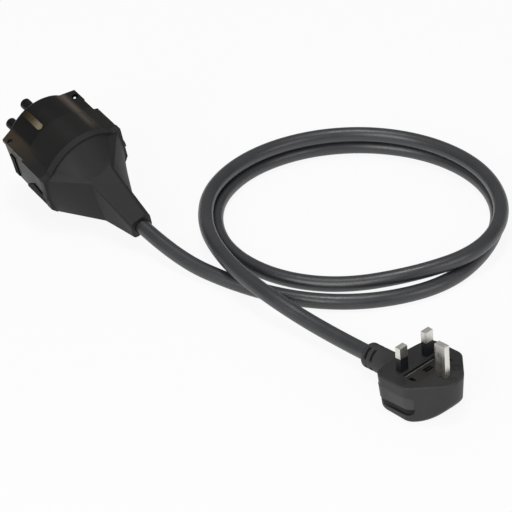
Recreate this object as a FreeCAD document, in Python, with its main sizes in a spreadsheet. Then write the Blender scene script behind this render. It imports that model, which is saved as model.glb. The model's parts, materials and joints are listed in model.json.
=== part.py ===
import FreeCAD, Part
import math
import os
import Sketcher
from FreeCAD import Placement, Rotation, Vector

# A mains lead: a moulded three pin plug lying on its back, its cord in two loose turns, and a two post
# coupler with a faceted hood. The origin is the bottom centre of the plug, +Z is up, the earth pin points
# to -Y and the cord leaves to +Y. Lengths are in millimetres and angles in degrees.
# The plug has a frame of its own: origin on the face midway between the line and neutral pins, z out of
# the face, y towards the cord. The coupler has one too: origin at the flange's front, y out of its mouth.

doc = FreeCAD.newDocument("mains_lead")
dim = doc.addObject("Spreadsheet::Sheet", "dim")
size_count = 0


def size(name, value, note):
    """Write one driving size into the next row of the sheet and name its cell."""
    global size_count
    size_count += 1
    dim.set("A%d" % size_count, name)
    dim.set("B%d" % size_count, str(value))
    dim.set("C%d" % size_count, note)
    dim.setAlias("B%d" % size_count, name)


# Plug body
size("face_half_wide", 25.0, "plug face, centre line to side")
size("cable_end_y", 10.4, "plug face, corner of the cable end")
size("cable_end_radius", 120.0, "gentle curve of the cable end")
size("shoulder_y", -15.2, "where the sides turn towards the nose")
size("nose_y", -40.0, "where the two slanted sides would meet")
size("nose_radius", 15.0, "rounding of the nose in plan")
size("shoulder_radius", 8.0, "rounding of the shoulders in plan")
size("corner_radius", 7.5, "rounding of the cable end corners in plan")
size("draft_angle", 3.8, "lean of the side walls")
size("form_deep", 32.0, "depth of the moulding before its back is cut")
size("face_height", 25.0, "face above the back, at the line pins")
size("face_tilt", 3.63, "angle between the face and the back")
size("back_bend_y", -12.0, "where the back turns up towards the nose")
size("back_bend_radius", 30.0, "rounding of that bend")
size("nose_depth", 17.0, "face to the back's slope, before the nose")
size("back_edge_radius", 3.0, "rounding round the back")
size("face_edge_radius", 0.9, "rounding round the face")

# Finger grips in the plug's sides
size("grip_top", 7.8, "face to the grip's upper lip")
size("grip_tall", 12.7, "lip to ledge")
size("grip_ledge", 4.4, "height of the sloped ledge")
size("grip_lip", 0.4, "step at the upper lip")
size("grip_deep", 1.6, "depth at the ledge")
size("grip_end_y", -15.0, "rounded end of the grip")
size("grip_end_radius", 4.0, "rounding of that end")

# Boot and cord
size("boot_drop", 11.5, "face to the boot's axis")
size("boot_root_radius", 9.3, "boot where it leaves the body")
size("boot_radius", 8.15, "boot at its slots")
size("boot_taper_end_y", 22.0, "where the taper from the root ends")
size("boot_end_y", 39.2, "cable end of the boot")
size("boot_nose_radius", 2.2, "rounding of that end")
size("boot_slot_wide", 1.8, "one flexing slot")
size("boot_slot_deep", 1.9, "depth of a slot")
size("boot_slot_first", 4.5, "cable end to the first ring of slots")
size("boot_slot_pitch", 4.5, "first ring to second ring")
size("boot_slot_angle", 60.0, "arc of one slot")
size("boot_slot_count", 4, "slots in a ring")
size("cord_radius", 5.15, "outer radius of the cord")
size("cord_gap", 0.05, "cord to the wall of its sockets")
size("boot_socket_deep", 8.0, "cord inside the boot")

# Pins
size("pin_half_pitch", 11.1, "centre line to line and neutral pins")
size("pin_wide", 6.35, "line and neutral pins, across")
size("pin_thick", 3.97, "thickness of every pin")
size("pin_long", 17.7, "line and neutral pins, face to tip")
size("earth_y", -22.23, "earth pin's centre")
size("earth_wide", 7.92, "earth pin, along the plug")
size("earth_long", 22.7, "earth pin, face to tip")
size("pin_tip", 1.1, "chamfer at the pins' tips")
size("pin_root", 7.0, "pins' sleeves and full section inside the body")
size("sleeve_long", 9.2, "insulating sleeve, face to its end")
size("sleeve_wall", 0.6, "wall of a sleeve")
size("tail_deep", 18.0, "face to the ends of the pins' tails")
size("tail_wide", 2.4, "a tail, across")
size("tail_thick", 1.0, "a tail, along the plug")

# Pin bridge, fuse well and fuse
size("bridge_top", 2.8, "face to the top of the pin bridge")
size("bridge_deep", 12.4, "height of the pin bridge")
size("bridge_half_wide", 17.6, "half width of the pin bridge")
size("bridge_end_y", 5.0, "cable end of the pin bridge")
size("bridge_arm_y", -28.5, "end of the arm that holds the earth pin")
size("bridge_arm_half", 5.0, "half width of that arm")
size("carrier_half_long", 15.0, "fuse carrier, half its length")
size("carrier_y", -10.8, "fuse carrier's centre")
size("carrier_wide", 10.4, "fuse carrier, along the plug")
size("carrier_thick", 1.9, "plate of the fuse carrier")
size("carrier_drop", 0.3, "carrier below the face")
size("carrier_gap", 0.3, "carrier to the walls of its well")
size("carrier_slot", 0.6, "wider gap beside the carrier's cable edge")
size("carrier_arm_half", 3.5, "half width of the carrier's two arms")
size("carrier_arm_thick", 0.9, "thickness of an arm")
size("lever_slot_long", 7.4, "screwdriver slot in the carrier")
size("lever_slot_wide", 3.0, "width of that slot")
size("lever_slot_deep", 1.4, "depth of that slot")
size("pry_slot_long", 4.0, "pry slot beside the carrier")
size("pry_slot_wide", 2.2, "width of a pry slot")
size("pry_slot_deep", 1.6, "depth of a pry slot")
size("fuse_half_long", 12.7, "fuse, half its length")
size("fuse_radius", 3.18, "fuse caps")
size("fuse_drop", 6.6, "face to the fuse's axis")
size("fuse_cap_long", 6.2, "length of a cap")
size("fuse_cap_wall", 0.35, "wall of a cap")
size("fuse_bore", 1.6, "bore of the fuse tube")
size("fuse_wire_radius", 0.3, "fuse wire")
size("clip_thick", 0.5, "spring metal of the fuse clips")
size("clip_wide", 4.6, "a clip, along the fuse")
size("clip_mouth", 1.9, "fuse's axis to the clip's open lips")
size("clip_seat", 3.4, "width of the clip's foot")
size("line_tab_y", -8.5, "load clip's tail, along the plug")
size("load_tail_x", 5.2, "load clip's tail, across")
size("crimp_radius", 1.9, "crimp barrel")
size("crimp_wall", 0.5, "wall of a crimp barrel")
size("crimp_long", 5.0, "length of a crimp barrel")
size("core_radius", 1.4, "stripped and insulated cores in the crimps")
size("core_ring", 2.1, "cord's axis to the axis of each core")

# Face marks
size("mark_radius", 1.2, "round ejector marks on the face")
size("mark_deep", 0.25, "depth of a mark")
size("mark_side_x", 10.8, "first mark, across")
size("mark_side_y", -23.1, "first mark, along")
size("mark_nose_x", 0.8, "second mark, across")
size("mark_nose_y", -30.4, "second mark, along")

# Coupler hood
size("flange_radius", 34.0, "upper round part of the flange")
size("flange_low_radius", 31.6, "lower round part of the flange")
size("flange_half_wide", 33.0, "square part of the flange")
size("flange_top", 20.0, "square part of the flange, axis to its top")
size("flange_low", 16.0, "square part of the flange, axis to its underside")
size("flange_corner", 3.5, "slanted lower corners of the flange")
size("flange_thick", 5.0, "thickness of the flange")
size("lobe_half_wide", 23.0, "ends of the hood's rounded top panel")
size("lobe_end_tall", 21.5, "height of those ends")
size("lobe_radius", 30.4, "curve of that panel at the flange")
size("hood_half_wide", 29.6, "hood's side panel at the flange")
size("hood_side_tall", 18.3, "axis to that panel's upper end")
size("hood_side_low", 15.0, "axis to that panel's lower end")
size("lobe_low_tall", 20.0, "axis to the ends of the underside's panel")
size("hood_side_radius", 75.0, "curve of the side panel at the flange")
size("neck_back", 36.1, "flange's front to the neck's crease, on the axis")
size("neck_lean", 24.6, "lean of that crease")
size("neck_top_half", 10.0, "half width of the neck's top at the crease")
size("neck_low_half", 12.3, "half width of the neck's underside at the crease")
size("neck_top_tall", 22.2, "axis to the neck's top, along the crease")
size("neck_low_tall", 10.9, "axis to the neck's underside, along the crease")
size("neck_corner", 1.6, "corner facet of the neck")
size("mouth_back", 66.5, "flange's front to the cable mouth")
size("mouth_half", 8.0, "cable mouth, half width")
size("mouth_corner", 4.2, "rounding of the mouth's corners")
size("hood_wall", 2.5, "wall of the hood")
size("hollow_step", 1.5, "extra wall of the hood beside the flange")
size("cavity_back", 50.0, "flange's front to the end of the hollow")
size("mouth_socket_deep", 10.0, "cord inside the hood")
size("core_passage", 4.4, "radius of the passage for the cores")

# Coupler front
size("drum_radius", 30.4, "rear band of the drum")
size("drum_band", 27.0, "length of that band")
size("drum_front_radius", 28.3, "front of the drum")
size("drum_long", 51.0, "flange to the drum's mouth")
size("drum_chamfer", 1.5, "bevel at the mouth and the band's step")
size("drum_bore", 25.0, "bore round the insert")
size("drum_throat", 22.5, "bore behind the insert")
size("insert_back", 38.0, "flange to the back of the insert")
size("insert_thick", 12.0, "thickness of the insert")
size("insert_gap", 0.1, "insert to the drum's bore")
size("spigot_radius", 28.5, "spigot that enters the hood's flange")
size("spigot_long", 4.0, "length of the spigot")
size("spigot_gap", 0.15, "spigot to the flange's recess")
size("wing_inner", 20.5, "wings' edge inside the drum")
size("wing_half_wide", 31.1, "tips of the wings")
size("wing_root_half", 32.8, "wings beside the flange")
size("wing_root_long", 21.0, "length of that wider part")
size("wing_waist", 30.2, "wings between root and tip")
size("wing_tip_start", 33.0, "start of the tips")
size("wing_tip_long", 45.9, "outer corner of the tips")
size("wing_inner_long", 49.5, "inner corner of the tips")
size("wing_top", 19.5, "top of the wings")
size("wing_thick", 3.0, "thickness of the wings")
size("wing_hole_x", 28.0, "centre of a wing hole, across")
size("wing_hole_y", 40.9, "centre of a wing hole, along")
size("wing_hole_radius", 2.1, "hole in each wing")
size("skirt_out", 30.8, "outer face of the side walls")
size("skirt_wall", 1.2, "side walls below the wings")
size("skirt_bottom", 14.5, "side walls, lower edge")
size("skirt_long", 44.7, "side walls, front edge")
size("skirt_toe", 27.0, "side walls, where the lower edge starts to rise")
size("window_start", 35.3, "window of the front catch")
size("window_long", 5.4, "length of that window")
size("window_top", 8.6, "upper edge of that window")
size("window_bottom", 12.0, "lower edge of that window")
size("catch_proud", 0.8, "catches beyond the side walls")
size("catch_gap", 0.15, "catches to their windows")
size("rear_catch_toe", 2.0, "rear catch, end at the flange")
size("rear_catch_peak", 16.0, "rear catch, highest point along")
size("rear_catch_tip", 26.6, "rear catch, front end")

# Posts, contacts and earth strip
size("post_ring", 17.0, "coupler's axis to each post")
size("post_first_angle", 90.0, "first post round the axis")
size("post_second_angle", 150.0, "second post round the axis")
size("post_radius", 3.9, "outer radius of a post")
size("post_tip", 64.3, "flange to the tips of the posts")
size("post_tip_round", 1.8, "rounding of a tip")
size("post_bore", 2.2, "bore of a post")
size("post_gap", 0.1, "post to its hole in the insert")
size("contact_wall", 0.5, "wall of the socket contacts")
size("contact_tip", 62.8, "flange to the mouths of the contacts")
size("contact_back", 26.0, "flange to the crimp ends of the contacts")
size("strip_angle", 107.0, "earth strip round the axis")
size("strip_wide", 4.8, "width of the earth strip")
size("strip_thick", 0.7, "thickness of the earth strip")
size("strip_start", 28.6, "rear end of the strip")
size("groove_gap", 0.1, "strip to the walls of its groove")
size("groove_deep", 1.3, "depth of the groove in the drum")
size("strip_tab_deep", 5.6, "strip's tab, inwards through the drum")
size("strip_tab_long", 3.0, "strip's tab, along the drum")

# Where the coupler lies
size("coupler_x", -2.2, "flange's centre, across")
size("coupler_y", 305.3, "flange's centre, along")
size("coupler_yaw", -3.5, "coupler turned about the vertical")
size("coupler_pitch", 13.5, "coupler's mouth raised")
size("coupler_roll", -17.2, "coupler rolled about its own axis")

doc.recompute()


def val(text):
    """The plain number that an expression over the sheet gives."""
    result = dim.evalExpression(text)
    return float(getattr(result, "Value", result))


def plane_of(body, role):
    """One of a body's own origin planes."""
    return [item for item in body.Origin.OriginFeatures if item.Role == role][0]


def new_body(name):
    body = doc.addObject("PartDesign::Body", name)
    body.Label = name
    return body


def new_sketch(body, role, name, at="0", turn=None, shift=None):
    """A sketch on an origin plane, moved along the plane's normal by an expression."""
    sketch = body.newObject("Sketcher::SketchObject", name)
    sketch.AttachmentSupport = [(plane_of(body, role), "")]
    sketch.MapMode = "FlatFace"
    if turn is not None:
        sketch.AttachmentOffset = Placement(Vector(), turn)
    if shift is not None:
        sketch.setExpression("AttachmentOffset.Base.y", shift)
    if at != "0":
        sketch.setExpression("AttachmentOffset.Base.z", at)
    return sketch


def tie(sketch, kind, places, text):
    """A dimension of the sketch that follows an expression."""
    index = sketch.addConstraint(Sketcher.Constraint(kind, *places, val(text)))
    sketch.setExpression("Constraints[%d]" % index, text)


def draw(sketch, corners, arcs=None):
    """A closed outline, counter-clockwise, with some of its sides as arcs that bulge outwards."""
    arcs = arcs or {}
    points = [Vector(val(x), val(y), 0) for x, y in corners]
    count = len(points)
    for index, start in enumerate(points):
        end = points[(index + 1) % count]
        if index in arcs:
            radius = val(arcs[index])
            chord = end - start
            inward = Vector(-chord.y, chord.x, 0).normalize()
            rise = math.sqrt(radius ** 2 - (chord.Length / 2) ** 2)
            centre = (start + end) / 2 + inward * rise
            first = math.atan2(start.y - centre.y, start.x - centre.x)
            last = math.atan2(end.y - centre.y, end.x - centre.x)
            circle = Part.Circle(centre, Vector(0, 0, 1), radius)
            sketch.addGeometry(Part.ArcOfCircle(circle, first, last))
        else:
            sketch.addGeometry(Part.LineSegment(start, end))
    for index in range(count):
        sketch.addConstraint(Sketcher.Constraint("Coincident", index, 2, (index + 1) % count, 1))
    for index, text in arcs.items():
        tie(sketch, "Radius", (index,), text)
    for index, (x, y) in enumerate(corners):
        tie(sketch, "DistanceX", (-1, 1, index, 1), x)
        tie(sketch, "DistanceY", (-1, 1, index, 1), y)


def draw_circle(sketch, x, y, radius):
    """A circle whose centre and radius follow expressions."""
    index = sketch.addGeometry(Part.Circle(Vector(val(x), val(y), 0), Vector(0, 0, 1), val(radius)))
    tie(sketch, "Radius", (index,), radius)
    tie(sketch, "DistanceX", (-1, 1, index, 3), x)
    tie(sketch, "DistanceY", (-1, 1, index, 3), y)


def box_corners(x_low, x_high, y_low, y_high):
    """The corners of a rectangle, counter-clockwise."""
    return [(x_low, y_low), (x_high, y_low), (x_high, y_high), (x_low, y_high)]


def extrude(body, sketch, length, name, cut=False, reverse=False):
    """Pad or pocket a sketch along its normal, or against it when reversed."""
    feature = body.newObject("PartDesign::Pocket" if cut else "PartDesign::Pad", name)
    feature.Profile = sketch
    feature.setExpression("Length", length)
    feature.Reversed = (not reverse) if cut else reverse
    doc.recompute()
    return feature


def block(body, role, at, corners, length, name, **ways):
    """Extrude a rectangle or other straight outline from a plane."""
    sketch = new_sketch(body, role, name + "_sketch", at)
    draw(sketch, corners)
    return extrude(body, sketch, length, name, **ways)


def disc(body, role, at, centre, radius, length, name, **ways):
    """Extrude a circle from a plane."""
    sketch = new_sketch(body, role, name + "_sketch", at)
    draw_circle(sketch, centre[0], centre[1], radius)
    return extrude(body, sketch, length, name, **ways)


def turned(body, sketch, name, cut=False, angle=None):
    """Turn a sketch about its own horizontal axis."""
    feature = body.newObject("PartDesign::Groove" if cut else "PartDesign::Revolution", name)
    feature.Profile = sketch
    feature.ReferenceAxis = (sketch, ["H_Axis"])
    if angle is not None:
        feature.Midplane = True
        feature.setExpression("Angle", angle)
    doc.recompute()
    return feature


def dress(body, kind, test, amount, name):
    """Fillet or chamfer the edges of the body that pass a test."""
    base = body.Tip
    edges = ["Edge%d" % (i + 1) for i, edge in enumerate(base.Shape.Edges) if test(edge)]
    feature = body.newObject("PartDesign::" + kind, name)
    feature.Base = (base, edges)
    feature.setExpression("Radius" if kind == "Fillet" else "Size", amount)
    doc.recompute()
    return feature


def middle(edge):
    return edge.valueAt((edge.FirstParameter + edge.LastParameter) / 2)


def lies_at(edge, axis, place):
    """True when the whole edge lies in a plane across the named axis."""
    box = edge.BoundBox
    low = getattr(box, axis + "Min")
    high = getattr(box, axis + "Max")
    return abs(low - place) < 1e-4 and abs(high - place) < 1e-4


def border_test(shape, face_test):
    """A test for the edges round a group of faces, and not those between them."""
    chosen = []
    for face in shape.Faces:
        low_u, high_u, low_v, high_v = face.ParameterRange
        if face_test(face.normalAt((low_u + high_u) / 2, (low_v + high_v) / 2)):
            chosen.append(face)

    def test(edge):
        return sum(any(edge.isSame(other) for other in face.Edges) for face in chosen) == 1
    return test


def combine(kind, name, first, tools):
    """A cut or common of one object with another, or with the union of several."""
    if len(tools) > 1:
        union = doc.addObject("Part::MultiFuse", name + "_tools")
        union.Shapes = tools
    else:
        union = tools[0]
    result = doc.addObject(kind, name)
    result.Label = name
    result.Base = first
    result.Tool = union
    doc.recompute()
    return result


# Plug moulding

back_slope = "tan(dim.face_tilt * 1deg)"
back_level = "-dim.face_height / cos(dim.face_tilt * 1deg)"


def build_plug_form():
    """The outer form: a drafted pad in the face's outline, its back cut, its edges rounded."""
    body = new_body("plug_form")
    outline = new_sketch(body, "XY_Plane", "face_outline")
    draw(outline, [("dim.face_half_wide", "dim.cable_end_y"), ("-dim.face_half_wide", "dim.cable_end_y"),
                   ("-dim.face_half_wide", "dim.shoulder_y"), ("0", "dim.nose_y"),
                   ("dim.face_half_wide", "dim.shoulder_y")], {0: "dim.cable_end_radius"})
    walls = extrude(body, outline, "dim.form_deep", "walls", reverse=True)
    walls.setExpression("TaperAngle", "-dim.draft_angle")
    doc.recompute()
    beyond = "2 * dim.cable_end_y"
    front = "1.2 * dim.nose_y"
    profile = [(front, "-2 * dim.form_deep"), (beyond, "-2 * dim.form_deep"),
               (beyond, "%s + %s * %s" % (back_level, beyond, back_slope)),
               ("dim.back_bend_y", "%s + dim.back_bend_y * %s" % (back_level, back_slope)),
               (front, "-dim.nose_depth")]
    block(body, "YZ_Plane", "-2 * dim.face_half_wide", profile, "4 * dim.face_half_wide", "back", cut=True)

    def upright(edge):
        run = edge.valueAt(edge.LastParameter) - edge.valueAt(edge.FirstParameter)
        return abs(run.z) > 0.8 * run.Length and run.Length > 1

    dress(body, "Fillet", lambda e: upright(e) and abs(middle(e).x) < 1, "dim.nose_radius", "nose_round")
    dress(body, "Fillet", lambda e: upright(e) and abs(middle(e).x) > 0.7 * val("dim.face_half_wide")
          and middle(e).y > 0, "dim.corner_radius", "corner_round")
    dress(body, "Fillet", lambda e: upright(e) and abs(middle(e).x) > 0.8 * val("dim.face_half_wide")
          and middle(e).y < val("0.8 * dim.shoulder_y"), "dim.shoulder_radius", "shoulder_round")
    bend = val("dim.back_bend_y")
    dress(body, "Fillet", lambda e: abs(e.BoundBox.YMax - bend) < 0.01 and abs(e.BoundBox.YMin - bend) < 0.01
          and e.BoundBox.XLength > 10, "dim.back_bend_radius", "bend_round")
    dress(body, "Fillet", border_test(body.Tip.Shape, lambda n: n.z < -0.7),
          "dim.back_edge_radius", "back_round")
    dress(body, "Fillet", border_test(body.Tip.Shape, lambda n: n.z > 0.99),
          "dim.face_edge_radius", "face_round")
    add_boot(body)
    mark(body, "mark_side", "dim.mark_side_x", "dim.mark_side_y")
    mark(body, "mark_nose", "dim.mark_nose_x", "dim.mark_nose_y")
    return body


def mark(body, name, x, y):
    disc(body, "XY_Plane", "0", (x, y), "dim.mark_radius", "dim.mark_deep", name, cut=True, reverse=True)


def add_boot(body):
    """The flexible boot, turned about the cord's axis, with rings of part-round slots."""
    profile = new_sketch(body, "YZ_Plane", "boot_profile", shift="-dim.boot_drop")
    nose = "dim.boot_nose_radius"
    draw(profile, [("0", "0"), ("dim.boot_end_y", "0"), ("dim.boot_end_y", "dim.boot_radius - " + nose),
                   ("dim.boot_end_y - " + nose, "dim.boot_radius"),
                   ("dim.boot_taper_end_y", "dim.boot_radius"),
                   ("dim.cable_end_y", "dim.boot_root_radius"), ("0", "dim.boot_root_radius")], {2: nose})
    turned(body, profile, "boot")
    socket = new_sketch(body, "YZ_Plane", "cord_socket_profile", shift="-dim.boot_drop")
    draw(socket, box_corners("dim.boot_end_y - dim.boot_socket_deep", "dim.boot_end_y + 1", "0",
                             "dim.cord_radius + dim.cord_gap"))
    turned(body, socket, "cord_socket", cut=True)
    for ring in range(2):
        centre = "(dim.boot_end_y - dim.boot_slot_first - %d * dim.boot_slot_pitch)" % ring
        slot = new_sketch(body, "YZ_Plane", "slot_profile_%d" % ring, shift="-dim.boot_drop",
                          turn=Rotation(Vector(1, 0, 0), 45))
        draw(slot, box_corners(centre + " - dim.boot_slot_wide / 2", centre + " + dim.boot_slot_wide / 2",
                               "dim.boot_radius - dim.boot_slot_deep", "dim.boot_root_radius + 1"))
        groove = turned(body, slot, "slot_%d" % ring, cut=True, angle="dim.boot_slot_angle")
        round_boot = body.newObject("PartDesign::PolarPattern", "slots_%d" % ring)
        round_boot.Originals = [groove]
        round_boot.Axis = (slot, ["H_Axis"])
        round_boot.Angle = 360
        round_boot.setExpression("Occurrences", "dim.boot_slot_count")
        body.Tip = round_boot
        doc.recompute()


def build_grip():
    """The space of the +X finger grip: a shallow wedge along the side with a rounded end."""
    wedge = new_body("grip_wedge")
    lean = "tan(dim.draft_angle * 1deg)"
    foot = "-(dim.grip_top + dim.grip_tall)"
    ledge = "-(dim.grip_top + dim.grip_tall - dim.grip_ledge)"
    wall_top = "(dim.face_half_wide - dim.grip_top * %s)" % lean
    wall_foot = "(dim.face_half_wide - (dim.grip_top + dim.grip_tall) * %s)" % lean
    section = [(wall_top + " - dim.grip_lip", "-dim.grip_top"), (wall_foot + " - dim.grip_deep", ledge),
               (wall_foot, foot), (wall_top + " + 2", foot), (wall_top + " + 2", "-dim.grip_top")]
    block(wedge, "XZ_Plane", "-3 * dim.cable_end_y", section, "4 * dim.cable_end_y - dim.grip_end_y", "wedge")
    ends = new_body("grip_ends")
    side = box_corners("dim.grip_end_y", "3 * dim.cable_end_y", foot, "-dim.grip_top")
    block(ends, "YZ_Plane", "0.7 * dim.face_half_wide", side, "0.5 * dim.face_half_wide", "grip_side")
    end_y = val("dim.grip_end_y")
    dress(ends, "Fillet", lambda e: e.BoundBox.XLength > 5 and abs(middle(e).y - end_y) < 0.01,
          "dim.grip_end_radius", "grip_end")
    right = combine("Part::Common", "grip_right", wedge, [ends])
    left = doc.addObject("Part::Mirroring", "grip_left")
    left.Source = right
    left.Normal = Vector(1, 0, 0)
    doc.recompute()
    return [right, left]


# Pins

def build_pin(name, side):
    """A sleeved pin: full section at the tip, a slimmer core in its sleeve, and a tail for its crimp."""
    body = new_body(name)
    centre = "(%d * dim.pin_half_pitch)" % side
    half_wide = "dim.pin_wide / 2"
    half_thick = "dim.pin_thick / 2"
    block(body, "XY_Plane", "dim.sleeve_long",
          box_corners("%s - %s" % (centre, half_wide), "%s + %s" % (centre, half_wide),
                      "-" + half_thick, half_thick), "dim.pin_long - dim.sleeve_long", "tip")
    tip_z = val("dim.pin_long")
    dress(body, "Chamfer", lambda e: lies_at(e, "Z", tip_z), "dim.pin_tip", "tip_chamfer")
    core_wide = "(dim.pin_wide / 2 - dim.sleeve_wall)"
    core_thick = "(dim.pin_thick / 2 - dim.sleeve_wall)"
    block(body, "XY_Plane", "dim.sleeve_long",
          box_corners(centre + " - " + core_wide, centre + " + " + core_wide, "-" + core_thick, core_thick),
          "dim.sleeve_long + dim.pin_root", "core", reverse=True)
    add_tail(body, centre, "0")
    return body


def add_tail(body, x, y):
    block(body, "XY_Plane", "-dim.pin_root",
          box_corners(x + " - dim.tail_wide / 2", x + " + dim.tail_wide / 2",
                      y + " - dim.tail_thick / 2", y + " + dim.tail_thick / 2"),
          "dim.tail_deep - dim.pin_root", "tail", reverse=True)


def build_sleeve(name, side):
    """The insulating sleeve, flush with the pin's full section, from inside the body to its end."""
    body = new_body(name)
    centre = "(%d * dim.pin_half_pitch)" % side
    length = "dim.sleeve_long + dim.pin_root"
    block(body, "XY_Plane", "dim.sleeve_long",
          box_corners(centre + " - dim.pin_wide / 2", centre + " + dim.pin_wide / 2",
                      "-dim.pin_thick / 2", "dim.pin_thick / 2"), length, "sleeve", reverse=True)
    core_wide = "(dim.pin_wide / 2 - dim.sleeve_wall)"
    core_thick = "(dim.pin_thick / 2 - dim.sleeve_wall)"
    block(body, "XY_Plane", "dim.sleeve_long",
          box_corners(centre + " - " + core_wide, centre + " + " + core_wide, "-" + core_thick, core_thick),
          length, "bore", cut=True, reverse=True)
    return body


def build_earth_pin():
    """The earth pin: one plain blade with a chamfered tip and a tail."""
    body = new_body("earth_pin")
    block(body, "XY_Plane", "-dim.pin_root",
          box_corners("-dim.pin_thick / 2", "dim.pin_thick / 2",
                      "dim.earth_y - dim.earth_wide / 2", "dim.earth_y + dim.earth_wide / 2"),
          "dim.earth_long + dim.pin_root", "blade")
    tip_z = val("dim.earth_long")
    dress(body, "Chamfer", lambda e: lies_at(e, "Z", tip_z), "dim.pin_tip", "tip_chamfer")
    add_tail(body, "0", "dim.earth_y")
    return body


# Bridge, fuse well, carrier and fuse

clip_floor = "(dim.fuse_drop + dim.fuse_radius + 2 * dim.clip_thick)"


def build_bridge_form():
    """The hard moulding that holds the pins: a slab with an arm to the earth pin."""
    body = new_body("bridge_form")
    arm_start = "(dim.carrier_y - dim.carrier_wide / 2 - 2)"
    corners = [("-dim.bridge_half_wide", arm_start), ("-dim.bridge_arm_half", arm_start),
               ("-dim.bridge_arm_half", "dim.bridge_arm_y"), ("dim.bridge_arm_half", "dim.bridge_arm_y"),
               ("dim.bridge_arm_half", arm_start), ("dim.bridge_half_wide", arm_start),
               ("dim.bridge_half_wide", "dim.bridge_end_y"), ("-dim.bridge_half_wide", "dim.bridge_end_y")]
    block(body, "XY_Plane", "-dim.bridge_top", corners, "dim.bridge_deep", "slab", reverse=True)
    return body


def build_well():
    """The space of the fuse well with the two pry slots beside the carrier."""
    body = new_body("fuse_well")
    half_long = "(dim.carrier_half_long + dim.carrier_gap)"
    half_wide = "(dim.carrier_wide / 2 + dim.carrier_gap)"
    block(body, "XY_Plane", "1",
          box_corners("-" + half_long, half_long, "dim.carrier_y - " + half_wide,
                      "dim.carrier_y + %s + dim.carrier_slot" % half_wide),
          clip_floor + " + 1", "well", reverse=True)
    block(body, "XY_Plane", "1",
          box_corners("-%s - dim.pry_slot_wide" % half_long, half_long + " + dim.pry_slot_wide",
                      "dim.carrier_y - dim.pry_slot_long / 2", "dim.carrier_y + dim.pry_slot_long / 2"),
          "1 + dim.pry_slot_deep", "pry_slots", reverse=True)
    return body


def build_carrier():
    """The fuse carrier: a plate flush in the face with a lever slot, and two arms that hug the fuse."""
    body = new_body("fuse_carrier")
    half_wide = "dim.carrier_wide / 2"
    block(body, "XY_Plane", "-dim.carrier_drop",
          box_corners("-dim.carrier_half_long", "dim.carrier_half_long",
                      "dim.carrier_y - " + half_wide, "dim.carrier_y + " + half_wide),
          "dim.carrier_thick", "plate", reverse=True)
    block(body, "XY_Plane", "-dim.carrier_drop",
          box_corners("-dim.lever_slot_long / 2", "dim.lever_slot_long / 2",
                      "dim.carrier_y - dim.lever_slot_wide", "dim.carrier_y"),
          "dim.lever_slot_deep", "lever_slot", cut=True, reverse=True)
    for side, name in ((-1, "nose_arm"), (1, "cable_arm")):
        inner = "dim.carrier_y + %d * (dim.fuse_radius + 0.15)" % side
        outer = "dim.carrier_y + %d * (dim.fuse_radius + 0.15 + dim.carrier_arm_thick)" % side
        low, high = (outer, inner) if side < 0 else (inner, outer)
        block(body, "XY_Plane", "-dim.carrier_drop - dim.carrier_thick",
              box_corners("-dim.carrier_arm_half", "dim.carrier_arm_half", low, high),
              "dim.fuse_drop - dim.carrier_drop - dim.carrier_thick + 1.5", name, reverse=True)
    return body


def rod(name, start, length, radius, bore=None, axis="YZ_Plane", centre=("dim.carrier_y", "-dim.fuse_drop")):
    """A rod or tube that starts at a place along an axis and runs on from there."""
    body = new_body(name)
    sketch = new_sketch(body, axis, "section", start)
    draw_circle(sketch, centre[0], centre[1], radius)
    if bore:
        draw_circle(sketch, centre[0], centre[1], bore)
    extrude(body, sketch, length, "run")
    return body


def build_fuse():
    """The cartridge fuse: ceramic tube, two closed end caps and the wire between them."""
    inside = "dim.fuse_half_long - dim.fuse_cap_wall"
    tube_radius = "dim.fuse_radius - dim.fuse_cap_wall"
    tube = rod("fuse_tube", "-(%s)" % inside, "2 * (%s)" % inside, tube_radius, "dim.fuse_bore")
    wire = rod("fuse_wire", "-(%s)" % inside, "2 * (%s)" % inside, "dim.fuse_wire_radius")
    caps = []
    for side, name in ((1, "fuse_cap_line"), (-1, "fuse_cap_load")):
        start = "dim.fuse_half_long - dim.fuse_cap_long" if side > 0 else "-dim.fuse_half_long"
        cap = rod(name, start, "dim.fuse_cap_long", "dim.fuse_radius")
        hollow_start = start if side > 0 else "-dim.fuse_half_long + dim.fuse_cap_wall"
        disc(cap, "YZ_Plane", hollow_start, ("dim.carrier_y", "-dim.fuse_drop"), tube_radius,
             "dim.fuse_cap_long - dim.fuse_cap_wall", "hollow", cut=True)
        caps.append(cap)
    return [tube, wire] + caps


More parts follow.
